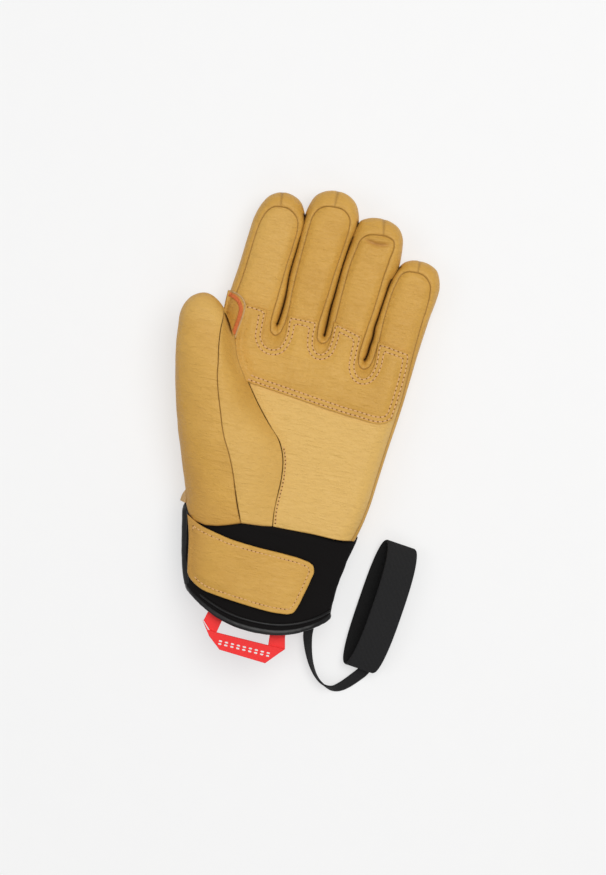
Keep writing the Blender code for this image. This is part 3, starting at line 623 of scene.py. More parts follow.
# ---------------------------------------------------------------- materials
class Painter:
    """Adds nodes to a material in few words."""

    def __init__(self, name):
        self.material = bpy.data.materials.new(name)
        self.material.use_nodes = True
        self.tree = self.material.node_tree
        self.shader = self.tree.nodes["Principled BSDF"]
        self.coordinates = self.tree.nodes.new("ShaderNodeTexCoord").outputs["Object"]

    def put(self, target, value):
        if isinstance(value, bpy.types.NodeSocket):
            self.tree.links.new(value, target)
        else:
            target.default_value = value

    def node(self, kind, settings=None, **inputs):
        made = self.tree.nodes.new(f"ShaderNode{kind}")
        for key, value in (settings or {}).items():
            setattr(made, key, value)
        for key, value in inputs.items():
            self.put(made.inputs[key.replace("_", " ")], value)
        return made

    def stretched(self, scale, turn=0.0):
        """The object's coordinates in metres, times a scale for each axis."""
        made = self.node("Mapping", Vector=self.coordinates, Scale=scale, Rotation=(0, 0, turn))
        return made.outputs["Vector"]

    def noise(self, scale, detail=3.0, roughness=0.5, distortion=0.0, vector=None):
        vector = vector or self.coordinates
        settings = {"Scale": scale, "Detail": detail, "Roughness": roughness, "Distortion": distortion}
        return self.node("TexNoise", Vector=vector, **settings).outputs["Fac"]

    def cells(self, scale, feature):
        made = self.node("TexVoronoi", {"feature": feature}, Vector=self.coordinates, Scale=scale)
        return made.outputs["Distance"]

    def spread(self, value, low, high, to_low=0.0, to_high=1.0):
        """A value's place between low and high, as a number between to_low and to_high."""
        made = self.node("MapRange", Value=value, From_Min=low, From_Max=high, To_Min=to_low, To_Max=to_high)
        return made.outputs["Result"]

    def maths(self, operation, a, b, clamp=False):
        made = self.node("Math", {"operation": operation, "use_clamp": clamp})
        self.put(made.inputs[0], a)
        self.put(made.inputs[1], b)
        return made.outputs[0]

    def mix(self, factor, *colours):
        made = self.node("Mix", {"data_type": "RGBA"}, Factor=factor)
        for key, colour in zip("AB", colours):
            self.put(made.inputs[key], colour if isinstance(colour, bpy.types.NodeSocket) else (*colour, 1.0))
        return made.outputs["Result"]

    def bump(self, height, depth, under=None):
        """A bump of so many metres for a height from 0 to 1."""
        made = self.node("Bump", Height=height, Strength=1.0, Distance=depth)
        if under is not None:
            self.put(made.inputs["Normal"], under)
        return made.outputs["Normal"]

    def attribute(self, name):
        return self.node("Attribute", {"attribute_name": name}).outputs["Fac"]

    def finish(self, colour, roughness, normal, specular=0.4):
        self.put(self.shader.inputs["Base Color"], colour)
        self.put(self.shader.inputs["Roughness"], roughness)
        self.put(self.shader.inputs["Normal"], normal)
        self.shader.inputs["Specular IOR Level"].default_value = specular
        return self.material


def srgb(red, green, blue):
    """A colour given from 0 to 255 as Blender's linear one."""
    return tuple(
        c / 12.92 / 255 if c <= 10 else ((c / 255 + 0.055) / 1.055) ** 2.4 for c in (red, green, blue)
    )


SEAM_SHADE_BROWN = srgb(124, 80, 28)
GAP_SHADE_BLACK = srgb(26, 13, 4)
PALE_DYE_AND_HIGHLIGHT = srgb(228, 186, 105)
DARK_DYE_AND_SHADE = srgb(170, 116, 56)
WOVEN_SHADE = (0.0035, 0.0035, 0.0035)


def leather(name, light, middle, dark, grain_depth=0.00007):
    """Smooth full-grain leather: mottled dye, fine pores, creases, paler or darker by its tone (dye changes
    and painted highlight and shade), seam-brown painted shade where it turns into a seam, and near black
    painted shade between touching fingers.
    """
    p = Painter(name)
    clouds = p.spread(p.noise(34, 4, 0.55), 0.32, 0.68)
    mottle = p.spread(p.noise(420, 5, 0.6), 0.3, 0.7)
    colour = p.mix(clouds, dark, light)
    colour = p.mix(0.5, colour, middle)
    colour = p.mix(p.spread(mottle, 0, 1, 0.0, 0.16), colour, dark)
    tone = p.attribute("tone")
    # Tone paints the dye's own pale and dark patches, and also painted highlight and painted shade.
    colour = p.mix(p.maths("MULTIPLY", tone, 0.8, True), colour, PALE_DYE_AND_HIGHLIGHT)
    colour = p.mix(p.maths("MULTIPLY", tone, -0.8, True), colour, DARK_DYE_AND_SHADE)
    seam = p.attribute("seam")
    # Seam-brown painted shade in the groove where the leather turns into a seam.
    colour = p.mix(p.maths("MULTIPLY", seam, 0.72, True), colour, SEAM_SHADE_BROWN)
    # Near black painted shade where two fingers touch, for seam values above 1.
    colour = p.mix(p.spread(seam, 1.0, 1.7, 0.0, 0.95), colour, GAP_SHADE_BLACK)
    pores = p.spread(p.cells(1350, "SMOOTH_F1"), 0.0, 0.75)
    creases = p.spread(p.noise(520, 6, 0.62, 0.7), 0.25, 0.75)
    folds = p.spread(p.noise(150, 3, 0.5, 0.5, p.stretched((0.45, 1.6, 1.0))), 0.3, 0.7)
    lines = p.spread(p.noise(480, 4, 0.6, 0.5, p.stretched((0.28, 1.9, 1.0))), 0.48, 0.8)
    colour = p.mix(p.spread(lines, 0, 1, 0.0, 0.14), colour, DARK_DYE_AND_SHADE)
    normal = p.bump(pores, grain_depth)
    normal = p.bump(creases, 0.00018, normal)
    normal = p.bump(folds, 0.00036, normal)
    normal = p.bump(p.maths("SUBTRACT", 1.0, lines), 0.00017, normal)
    shine = p.spread(mottle, 0, 1, 0.42, 0.56)
    return p.finish(colour, shine, normal, 0.42)


def woven(name, colour, other, thread, turn=0.0, roughness=0.85, depth=0.0001, specular=0.25):
    """Webbing or cloth: ribs one thread apart, crossed by finer ones, with a little fuzz."""
    p = Painter(name)
    vector = p.stretched((1, 1, 1), turn)
    rate = 1.0 / thread * math.pi / 10
    ribs, cross = (
        p.node(
            "TexWave", {"bands_direction": way}, Vector=vector, Scale=rate * finer, Distortion=0.6
        ).outputs["Fac"]
        for way, finer in (("X", 1.0), ("Y", 1.4))
    )
    weave = p.maths("MULTIPLY", ribs, p.spread(cross, 0, 1, 0.55, 1.0))
    fuzz = p.noise(900, 4, 0.6)
    colour = p.mix(p.maths("MULTIPLY", weave, fuzz), other, colour)
    # Painted shade where the tone is below 0.
    colour = p.mix(p.maths("MULTIPLY", p.attribute("tone"), -0.8, True), colour, WOVEN_SHADE)
    normal = p.bump(weave, depth)
    normal = p.bump(fuzz, depth * 0.6, normal)
    return p.finish(colour, p.spread(fuzz, 0, 1, roughness - 0.06, roughness + 0.06), normal, specular)


def plain(name, colour, other, roughness, scale=300, depth=0.00005, specular=0.4):
    """A moulded, coated or spun surface with slight unevenness."""
    p = Painter(name)
    uneven = p.noise(scale, 4, 0.6)
    colour = p.mix(p.spread(uneven, 0.3, 0.7), colour, other)
    shine = p.spread(uneven, 0, 1, roughness - 0.05, roughness + 0.05)
    return p.finish(colour, shine, p.bump(uneven, depth), specular)


TAN = leather("leather_tan", srgb(219, 170, 80), srgb(213, 163, 72), srgb(198, 147, 59))
PALE = leather("leather_patch", srgb(220, 172, 82), srgb(213, 164, 74), srgb(199, 149, 61))
CUT_EDGE = plain("leather_cut_edge", srgb(205, 170, 120), srgb(186, 148, 98), 0.8, 700)
THREAD = plain("thread_beige", srgb(228, 184, 132), srgb(212, 166, 112), 0.75, 1500, 0.00008)
HOLE_SHADE = plain("needle_hole_shade", srgb(142, 92, 44), srgb(118, 74, 34), 0.9, 900)
CORAL = plain("thread_coral", srgb(228, 132, 74), srgb(205, 108, 52), 0.65, 1500, 0.00008)
SOFTSHELL = woven("cuff_fabric", srgb(20, 16, 15), srgb(9, 7, 7), 0.0005, 0.2, 0.9, 0.00005, 0.2)
BINDING = plain("binding_coated", srgb(15, 15, 15), srgb(9, 9, 9), 0.38, 240, 0.00006, 0.4)
FLEECE = plain("lining_fleece", srgb(66, 66, 70), srgb(42, 42, 46), 0.95, 700, 0.0004, 0.1)
ELASTIC = woven("elastic_webbing", srgb(52, 52, 53), srgb(27, 27, 28), 0.0008, -0.08, 0.85, 0.00014, 0.25)
RED = woven("red_webbing", srgb(255, 76, 75), srgb(250, 50, 50), 0.0007, 0.0, 0.7, 0.00008, 0.3)
WHITE = plain("print_white", srgb(244, 240, 238), srgb(232, 226, 224), 0.6, 800)
HOOK = plain("hook_tape", srgb(28, 28, 29), srgb(16, 16, 17), 0.8, 1200, 0.0003)


FLOOR_HALF, FLOOR_Z = 12.0, -0.0004  # metres


def make_floor():
    mesh = bpy.data.meshes.new("floor")
    corners = [(x * FLOOR_HALF, y * FLOOR_HALF, FLOOR_Z) for x, y in ((-1, -1), (1, -1), (1, 1), (-1, 1))]
    mesh.from_pydata(corners, [], [(0, 1, 2, 3)])
    paper = plain("floor_paper", srgb(170, 170, 170), srgb(169, 169, 169), 0.95, 60, 0.00001, 0.1)
    glow = paper.node_tree.nodes["Principled BSDF"].inputs
    glow["Emission Color"].default_value = (1, 1, 1, 1)
    glow["Emission Strength"].default_value = 0.55
    mesh.materials.append(paper)
    floor = bpy.data.objects.new("floor", mesh)
    scene.collection.objects.link(floor)


make_floor()

# ---------------------------------------------------------------- leash and wrist loop
LEASH_WIDTH, LEASH_THICK = 7.0, 1.1
LEASH_ROUTE = (
    (31.0, -120.2, 4.4), (31.3, -124.0, 4.1), (32.2, -128.2, 3.9), (33.7, -132.8, 3.8), (35.7, -137.4, 3.8),
    (38.1, -141.6, 3.8), (41.1, -145.6, 3.8), (44.7, -148.9, 3.8), (48.8, -151.0, 3.8), (53.2, -151.7, 3.8),
    (57.6, -150.4, 3.8), (61.7, -147.6, 3.8), (65.2, -144.4, 3.8), (68.0, -141.4, 3.8),
)
LEASH_END = ((69.6, -139.4, 3.8), (70.6, -137.6, 3.8))  # where it is sewn into the loop
LEASH_SAG = 2.1
# how far the tape is turned from lying flat: share of its length, and degrees
LEASH_TWIST = (
    (0, 33), (0.05, 36), (0.24, 60), (0.32, 69), (0.43, 80), (0.54, 91), (0.63, 118), (0.7, 140),
    (0.8, 156), (1, 172),
)
LOOP_CENTRE = (71.6, -97.3, 7.2)
LOOP_HALF_LENGTH, LOOP_HALF_HEIGHT, LOOP_WIDTH, LOOP_BAND = 40.8, 6.7, 19.0, 1.6
LOOP_LEAN = math.radians(6.9)
LOOP_SHEAR = 4.3  # how far its upper side is to the right of its lower side, halved
LOOP_POINTS = 25  # across the webbing, on each of its faces
BAND_POINTS = 7


def sweep_band(route, tilts, width, thickness):
    """A flat band along a route, turned by a tilt from lying flat at each of its points."""
    flat, up = route_frame(route)
    across = flat * np.cos(tilts)[:, None] + up * np.sin(tilts)[:, None]
    above = up * np.cos(tilts)[:, None] - flat * np.sin(tilts)[:, None]
    share = np.linspace(-1, 1, BAND_POINTS)
    ring = [(s * width / 2, thickness / 2 * (1 - 0.5 * abs(s) ** 6)) for s in share]
    ring += [(x, -z) for x, z in ring[::-1]]
    return grid_skin(np.stack([route + across * x + above * z for x, z in ring], 1), closed=True)


def close_ends(band):
    """Faces over a band's two open ends."""
    columns = 2 * BAND_POINTS
    caps = []
    for start, turn in ((0, 1), (len(band.points) - columns, -1)):
        for i in range(BAND_POINTS - 1):
            face = [start + i, start + columns - 1 - i, start + columns - 2 - i, start + i + 1]
            caps.append(face[::turn])
    band.faces = np.vstack([band.faces, caps])
    return band


def make_leash():
    """The limp tape from inside the hem to the wrist loop, and the loop."""
    route = smooth_line(LEASH_ROUTE + LEASH_END, 1.2)
    share = np.linspace(0, 1, len(route))
    tilts = np.radians(np.interp(share, *zip(*LEASH_TWIST)))
    route[:, 1] -= LEASH_SAG * np.sin(share * math.pi) ** 2
    lift = np.abs(np.sin(tilts)) * LEASH_WIDTH / 2
    route[:, 2] = np.maximum(1.0, lift + 0.4)
    route[:, 2] += 3.0 * ease((0.12 - share) / 0.12)
    route[:, 2] += 1.6 * ease((share - 0.85) / 0.15)
    tape = close_ends(sweep_band(route, tilts, LEASH_WIDTH, LEASH_THICK))
    tape = place("leash_webbing", tape, ELASTIC, "leash", "elastic_webbing", "leash_tape")

    hidden = smooth_line([(30.7, -108, 8.5), (30.8, -114, 7.0), tuple(route[0]), tuple(route[2])], 1.2)
    stub = sweep_band(hidden, np.full(len(hidden), tilts[0]), LEASH_WIDTH - 0.3, LEASH_THICK + 0.3)
    place("leash_sewn_end", close_ends(stub), ELASTIC, "hand", "elastic_webbing")

    lean_y = np.array([math.sin(LOOP_LEAN), math.cos(LOOP_LEAN), 0])
    lean_x = np.array([math.cos(LOOP_LEAN), -math.sin(LOOP_LEAN), 0])
    turns = np.linspace(0, 2 * math.pi, 240, endpoint=False)
    rings = []
    profile = [(s * LOOP_WIDTH / 2, 0.0) for s in np.linspace(-1, 1, LOOP_POINTS)]
    profile += [(s * LOOP_WIDTH / 2, LOOP_BAND) for s in np.linspace(1, -1, LOOP_POINTS)]
    for across, inset in profile:
        soft = 0.5 * LOOP_BAND * max(0.0, abs(across) / (LOOP_WIDTH / 2) - 0.93) / 0.07
        depth = inset + (soft if inset == 0 else -soft) * 0.6
        length_here = (LOOP_HALF_LENGTH - depth) * power(np.cos(turns), 0.72)
        height = (LOOP_HALF_HEIGHT - depth) * power(np.sin(turns), 0.9)
        height = height * (1 - 0.12 * np.cos(turns) ** 2)
        shift = across + LOOP_SHEAR * np.sin(turns)
        ring = np.array(LOOP_CENTRE) + length_here[:, None] * lean_y + shift[:, None] * lean_x
        ring[:, 0] -= 0.0002 * (ring[:, 1] - LOOP_CENTRE[1]) ** 2
        ring[:, 2] += height + 0.25 * np.sin(turns * 3 + 0.6) * np.sin(turns) ** 2
        rings.append(ring)
    loop = ring_skin(np.stack(rings, 1)).flip()
    # The loop's inner face gets painted shade.
    loop.tone = np.tile(np.repeat([0.0, -1.0], LOOP_POINTS), len(turns))
    loop = place("wrist_loop_elastic", loop, ELASTIC, "leash", "elastic_webbing", "wrist_loop")


make_leash()

# ---------------------------------------------------------------- palm, back and fingers
ZONE_BEFORE, ZONE_AFTER = 6.0, 12.0  # the bend at a finger's root, before and after its line
MID_BEFORE, MID_AFTER = 10.0, 9.0  # the bend at its middle


LOW_Y = {n: ROOT_Y[n] - ZONE_BEFORE for n in NAMES}  # where a finger's own leather begins
CUT_Y = {n: (ROOT_Y[n] + ZONE_AFTER + MIDDLE_Y[n] - MID_BEFORE) / 2 for n in NAMES}  # between its two bends
CAD_PART = {"lower": "base", "upper": "tip"}


def regions_at(owners, y):
    """hand, or the lower or upper part of the finger that owns each place."""
    low = np.array([LOW_Y[n] for n in owners])
    cut = np.array([CUT_Y[n] for n in owners])
    return np.where(y < low, "hand", np.char.add(owners, np.where(y < cut, "_lower", "_upper")))


def attach(piece, region, *nodes, slot="leather"):
    """Rides a piece on the hand when it is in the hand's region; a finger part's piece only has its transform
    baked in. Hides the CAD nodes given.
    """
    name, _, part = region.partition("_")
    if part == "lower":
        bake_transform(piece)
    elif part == "upper":
        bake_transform(piece)
    else:
        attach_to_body(piece, "hand")
    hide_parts(*nodes)


def place_regions(skin, word, nodes_of, regions=None):
    """Cuts a leather skin into a piece for each region: the hand, and each finger's lower and upper part."""
    if regions is None:
        x, y, _ = skin.centres().T
        regions = regions_at(np.array(NAMES)[finger_of(x, y)], y)
    for region in sorted(set(regions)):
        attach(to_object(f"{region}_{word}", skin, TAN, regions == region), region, *nodes_of(region))


def nodes_by(word, hand_node):
    """Gives a region's CAD node: the hand's own, or the finger part's front or back."""

    def nodes(region):
        name, _, part = region.partition("_")
        return [f"{name}_{CAD_PART[part]}_{word}" if part else hand_node]

    return nodes


def finger_wrinkles(points):
    """Fine creases across the fingers, strongest where they bend, and soft unevenness everywhere."""
    x, y = points[:, 0], points[:, 1]
    number = finger_of(x, y)
    middle = np.array([MIDDLE_Y[n] for n in NAMES])[number]
    root = np.array([ROOT_Y[n] for n in NAMES])[number] + 7
    near = bell(y - middle, 9) + 0.8 * bell(y - root, 7) + 0.4
    creases = rough(points, (17, 2.1, 40)) + 0.5 * rough(points, (9, 1.2, 40), 7.0)
    soft = 0.35 * rough(points, (16, 22, 40), 3.0) + 0.14 * rough(points, (7, 8, 20), 5.0)
    return 0.27 * creases * near * fingerness(x, y) + soft


# the crumple at the ring finger's tip, which hangs like a smile
FOLD_X, FOLD_Y, FOLD_SAG = 22.5, 120.8, 0.022


def above_fold(x, y):
    return y - FOLD_Y - FOLD_SAG * (x - 23) ** 2


def front_surface(flat, distance):
    """Points on the palm's leather, from places and their distances to its seam."""
    x, y = flat[:, 0], flat[:, 1]
    points = np.column_stack([flat, front_height(x, y)])
    puff = 0.45 * (1 - ease(distance / 4))
    fold = 0.9 * bell(above_fold(x, y) - 2.4, 1.3) - 1.7 * bell(above_fold(x, y), 1.2)
    fold *= np.exp(-(((x - FOLD_X) / 8) ** 4))
    points[:, 2] += finger_wrinkles(points) * ease(distance / 3) - roll(distance) - puff
    points[:, 2] += fold * ease(distance / 2)
    return points


HAND_SEAM = [p for n in NAMES for p in SEAM[n]] + list(ULNAR_SEAM)


front_outline = chain(HAND_SEAM, WRIST_SEAM, THUMB_SEAM, HIDDEN_SEAM)


def make_front():
    flat, faces, distance = fill_outline(front_outline, 1.1)
    x, y = flat.T
    covered = distance_to(smooth_line(HIDDEN_SEAM[1:]), flat, closed=False) < 2.5
    skin = Skin(front_surface(flat, distance), faces, np.where(covered, 0, painted_seam_shade(distance)))
    if skin.normals[:, 2].mean() < 0:
        skin.flip()
    skin.tone = 1 - fingerness(x, y + 12)
    skin.tone += 0.35 * (finger_of(x, y) == 0) * ease((y - 60) / 40)
    # Painted shadow in the dent of the ring finger's crumple.
    skin.tone -= 0.9 * bell(above_fold(x, y) - 0.1, 1.2) * np.exp(-(((x - FOLD_X) / 7.5) ** 4))
    place_regions(skin, "front_leather", nodes_by("front", "palm_leather"))


BACK_THUMB_SIDE = ((-48, -61), (-53, -45), (-60, -25), (-66.5, -5), (-70.5, 10), (-72, 21))
BACK_THUMB_ROOT = ((-72, 21), (-64, 27), (-58.5, 40), (-57.6, 60))
BACK_RIDGES_X = (-20.0, 4.0, 28.0)  # the three sewn ridges, where they cross y = 0


def make_back():
    outline = chain(HAND_SEAM, [(45, -60.5), (-48, -61)], BACK_THUMB_SIDE, BACK_THUMB_ROOT, spacing=1.1)
    flat, faces, distance = fill_outline(outline, 1.7)
    x, y = flat.T
    skin = Skin(np.column_stack([flat, back_height(x, y)]), faces, painted_seam_shade(distance))
    if skin.normals[:, 2].mean() > 0:
        skin.flip()
    lift = roll(distance) + np.maximum(0, 0.6 * finger_wrinkles(skin.points)) * ease(distance / 3)
    here = ease((y + 50) / 12) * ease((34 - y) / 12)
    for ridge_x in BACK_RIDGES_X:
        reach = np.abs(x - ridge_x - 0.05 * y)
        lift += 0.75 * bell(reach, 1.1) * here
        # Painted seam shade along each ridge.
        skin.seam = np.maximum(skin.seam, 0.7 * bell(reach, 0.45) * here)
    skin.points[:, 2] += lift
    skin.find_normals()
    place_regions(skin, "back_leather", nodes_by("back", "back_leather"))


def strip_profile(front_z, back_z, top, middle):
    """Reach (0 at the seam, 1 at the silhouette) and height of each column of a side strip."""
    half = top - middle
    exponent = 2 / ROUNDNESS
    reach, height = [], []
    down = (1 - np.linspace(1, 0, 11) ** 1.5)[1:]
    for sign, edge_z, shares in ((1, front_z, 1 - np.linspace(0, 1, 15) ** 1.5), (-1, back_z, down)):
        whole = np.arcsin(np.clip(sign * (edge_z - middle) / half, 0.02, 0.995) ** (1 / exponent))
        start = np.cos(whole) ** exponent
        for share in shares:
            reach.append((np.cos(whole * share) ** exponent - start) / (1 - start))
            height.append(middle + sign * half * np.sin(whole * share) ** exponent)
    return np.stack(reach, 1), np.stack(height, 1)


def outer_place(x, y, name):
    """The place on a finger's silhouette that belongs to a place on its seam."""
    centre = tip_centre(name)
    if y > centre[1]:
        centre = centre + (STRIP_SHIFT[name], 0)
        angles, distances = strip_reaches[name]
        angle = math.atan2(y - centre[1], x - centre[0])
        reach = np.interp(angle, angles, distances)
        return centre + reach * np.array([math.cos(angle), math.sin(angle)])
    number = NAMES.index(name)
    side = int(x > centre[0] + (0.07 * (y - centre[1])))
    gap = number - 1 + side
    if 0 <= gap < 3 and y < crotch_y[gap] + 1:
        shift = np.clip((x - crotch_x[gap]) / 2.5, -1, 1)
        return np.array([crotch_x[gap] + 0.4 * shift, crotch_y[gap] + 1 - 0.5 * (1 - shift**2)])
    inward = 0.1 if 0 <= gap < 3 else 0.0
    return np.array([side_x(name, side, y) + (inward if side == 0 else -inward), y])


TOUCHING_TOPS = ((-30, 131), (-15, 131), (0, 133), (15, 133), (30, 111), (45, 111))  # x, y where fingers part
STRIP_BOTTOM = 0.3


def make_strip(line, names):
    """A strip along a stretch of the seam. names gives the finger that each point belongs to."""
    outer = np.array([outer_place(x, y, n) for (x, y), n in zip(line, names)])
    x, y = line.T
    f = fingerness(x, y)
    top = (1 - f) * palm_top(y) + f * (FINGER_MID + FINGER_HALF)
    middle = (top + STRIP_BOTTOM) / 2
    reach, height = strip_profile(front_height(x, y), back_height(x, y), top + 0.05, middle)
    xy = line[:, None, :] + (outer - line)[:, None, :] * reach[:, :, None]
    grid = np.concatenate([xy, height[:, :, None]], 2)
    from_front = gone_along(grid)
    edge = np.minimum(from_front, from_front[:, -1:] - from_front)
    ends = np.minimum(np.arange(len(line)), np.arange(len(line))[::-1]) * 0.8
    tips = np.repeat(ends[:, None], grid.shape[1], 1)
    touching = (np.abs(outer[:, 0] - x) < 5.5) & (outer[:, 1] < np.interp(outer[:, 0], *zip(*TOUCHING_TOPS)))
    touching &= (outer[:, 0] > -40) & (outer[:, 0] < 45)
    # Painted shade: near black over the outer part of a strip where two fingers touch; the strip's ends also
    # get painted seam shade.
    dark = 1.7 * touching[:, None] * ease((reach - 0.55) / 0.4)
    skin = grid_skin(grid, np.maximum(np.maximum(painted_seam_shade(edge), 0.6 * painted_seam_shade(tips, 0.3)), dark))
    middle_row = skin.normals.reshape(grid.shape)[:, grid.shape[1] // 2]
    if (middle_row[:, :2] * (outer - line)).sum() < 0:
        skin.flip()
    return skin.push((0.55 * ease(edge / 2.6) - roll(edge) - roll(tips, 0.22)).ravel())


def make_strips():
    """The side strips: on the index finger's outside, between each two fingers, on the little finger's."""
    line = smooth_line(HAND_SEAM, 0.8)
    tops = [int(np.argmin(np.hypot(*(line - (TIP_SEAM_X[n], TIP_START[n] + 10)).T))) for n in NAMES]
    bounds = [0, *tops, len(line) - 1]
    strips, regions = [], []
    for number, (first, last) in enumerate(zip(bounds, bounds[1:])):
        part = line[first : last + 1]
        left, right = NAMES[max(number - 1, 0)], NAMES[min(number, 3)]
        lowest = int(np.argmin(part[:, 1])) if left != right else 0
        names = [left] * lowest + [right] * (len(part) - lowest)
        strips.append(make_strip(part, names))
        columns = len(strips[-1].points) // len(part)
        regions.append(regions_at(np.repeat(names[:-1], columns - 1), strips[-1].centres()[:, 1]))

    def nodes(region):
        name, _, part = region.partition("_")
        if part == "lower":
            return [f"{name}_base_wall_{side}" for side in ("left", "right")]
        if part == "upper":
            return [f"{name}_tip_gusset"]
        return [f"crotch_gusset_{pair}" for pair in ("index_middle", "middle_ring", "ring_little")]

    place_regions(joined(strips), "side_strips", nodes, np.concatenate(regions))


make_front()
make_back()
make_strips()

# ---------------------------------------------------------------- thumb
# y: inner edge (x, z), length seam (x, z), outer edge (x, z), edge at the back (x, z)
THENAR = (
    (-62, -4.0, 31.6, -23.2, 35.8, -58.7, 18.5, -48.0, 3.0),
    (-54, -4.9, 31.3, -26.6, 37.2, -60.6, 19.5, -50.5, 3.5),
    (-45, -5.0, 31.0, -30.3, 38.7, -63.2, 20.5, -54.0, 4.0),
    (-30, -5.0, 30.4, -36.0, 41.0, -68.0, 22.3, -59.5, 5.0),
    (-23, -5.8, 30.2, -39.2, 42.0, -70.3, 23.2, -61.8, 5.8),
    (-15, -8.2, 29.9, -43.5, 43.0, -73.3, 24.3, -64.5, 6.8),
    (-9, -11.5, 29.6, -46.0, 43.7, -75.0, 25.0, -66.3, 7.6),
    (0, -20.0, 29.3, -49.0, 44.6, -77.6, 26.0, -68.8, 9.0),
    (12, -30.0, 28.9, -53.0, 45.7, -80.6, 27.8, -71.6, 10.8),
    (22, -37.2, 28.6, -55.6, 46.3, -82.5, 29.0, -73.0, 13.0),
    (30, -43.0, 28.2, -56.8, 46.3, -84.1, 30.2, -72.0, 14.2),
    (37, -47.6, 27.2, -57.8, 45.9, -85.3, 31.0, -70.0, 15.6),
)
# y: centre x, centre z, half width, half height, angle of the length seam
THUMB = (
    (22.0, -60.0, 30.2, 22.3, 16.2, 81.0),
    (37.0, -66.4, 31.3, 18.6, 15.5, 67.0),
    (50.0, -69.8, 32.2, 16.5, 15.0, 54.0),
    (58.0, -71.3, 32.4, 15.8, 15.0, 37.0),
    (64.0, -72.2, 32.5, 15.2, 15.0, 10.0),
    (69.4, -72.8, 32.6, 14.8, 15.0, -35.0),
)
# the inner panel's edge above the thumb's root, where it joins the index finger's side: y, x, z
WEB = (
    (22, -37.4, 28.8), (26, -40.3, 28.8), (30, -43.0, 28.8), (37, -46.8, 28.4), (44, -49.3, 27.6),
    (52, -53.4, 26.2), (58, -57.8, 25.4), (63.4, -61.4, 28.0),
)
WEB_LIFT = ((22, 0), (26, 0.5), (44, 0.5), (50, -0.3), (60, 2))  # y, and the web's height over the palm
WEB_BEND = ((-62, 1.0), (-20, 0.95), (10, 0.95), (28, 1.0), (38, 1.2), (50, 1.25), (63.4, 0.95))
WRIST_Y = -62
THUMB_ROOT_Y, THUMB_BEND_Y, THUMB_TIP_Y, THUMB_ROUND_Y = 22.0, 47.0, 69.4, 50.0
FREE_FROM, FREE_OVER = 20, 18  # y where the root begins to turn into the free thumb, and over what length
THUMB_TURN = 0.55  # the share of the outer panel above its edge
LAST_ANGLE = 282  # of the outer panel, at the back
thenar_table = np.array(THENAR, float)
thumb_table = np.array(THUMB, float)


def table_at(table, at):
    """A smooth curve through each column of a table, at the places given."""
    fine = smooth_line(table, 0.5)
    return [np.interp(at, fine[:, 0], fine[:, i]) for i in range(1, table.shape[1])]


def free_thumb(y, angle):
    """A point on the free thumb at an angle in degrees round its section, from +X towards +Z."""
    centre_x, centre_z, half_width, half_height, _ = table_at(thumb_table, y)
    share = np.clip((y - THUMB_ROUND_Y) / (THUMB_TIP_Y - THUMB_ROUND_Y), 0, 1)
    shrink = (1 - share**1.9) ** (1 / 1.9)
    turn = np.radians(angle)
    x = centre_x + half_width * shrink * power(np.cos(turn), 0.85)
    z = centre_z + half_height * (shrink * 0.94 + 0.06 * (share < 1)) * power(np.sin(turn), 0.85)
    return np.stack([x, y, z], -1)


BOTTOM_EDGE = (
    (-23, 1.4), (-30, 3.9), (-36.7, 6.0), (-44.4, 7.2), (-52, 6.0), (-56.5, 2.6), (-59, -2.0), (-60, -3),
)


def thumb_rise(first, count, round_count):
    """The heights of the rows of points up the thumb, which lie closer over its round tip."""
    turn = np.linspace(0, math.pi / 2, round_count)
    rise = THUMB_ROUND_Y + (THUMB_TIP_Y - THUMB_ROUND_Y) * np.sin(turn)
    rise[-1] = THUMB_TIP_Y - 0.01
    return np.concatenate([np.linspace(first, 48, count), rise])


def thumb_outer():
    """From the length seam over the thumb's outside to the back of the hand."""
    rise = thumb_rise(WRIST_Y, 100, 26)
    share = np.concatenate([np.array([0, 0.15, 0.35, 0.6, 0.95]) / 60, np.linspace(1.6 / 60, 1, 58)])
    y, q = np.meshgrid(rise, share, indexing="ij")
    _, _, seam_x, seam_z, edge_x, edge_z, back_x, back_z = table_at(thenar_table, y)
    above = q < THUMB_TURN
    past = (q - THUMB_TURN) / (1 - THUMB_TURN)
    turn = np.minimum(q / THUMB_TURN, 1) * math.pi / 2
    under = np.clip(past, 0, 1) * math.pi / 2 * 0.92
    x = seam_x + (edge_x - seam_x) * np.sin(turn) ** 0.95
    z = edge_z + (seam_z - edge_z) * np.cos(turn) ** 0.9
    x = np.where(above, x, edge_x + (back_x - edge_x) * (1 - np.cos(under)))
    z = np.where(above, z, edge_z + (back_z - edge_z) * np.sin(under))
    first = table_at(thumb_table, y)[4]
    angle = np.where(above, first + (180 - first) * q / THUMB_TURN, 180 + (LAST_ANGLE - 180) * past)
    weight = ease((y - FREE_FROM) / FREE_OVER)[..., None]
    grid = np.stack([x, y, z], -1) * (1 - weight) + free_thumb(y, angle) * weight
    dip = np.interp(-grid[..., 0], *zip(*((-x, fall) for x, fall in BOTTOM_EDGE)))
    dip = np.where(above, dip, dip * (1 - ease((q - THUMB_TURN) / 0.2)))
    grid[..., 1] -= dip * (1 - ease((grid[..., 1] - WRIST_Y) / 26))
    from_seam = gone_along(grid)
    from_back = from_seam[:, -1:] - from_seam
    return grid, np.minimum(np.minimum(from_seam, from_back), gone_along(grid, 0)), y


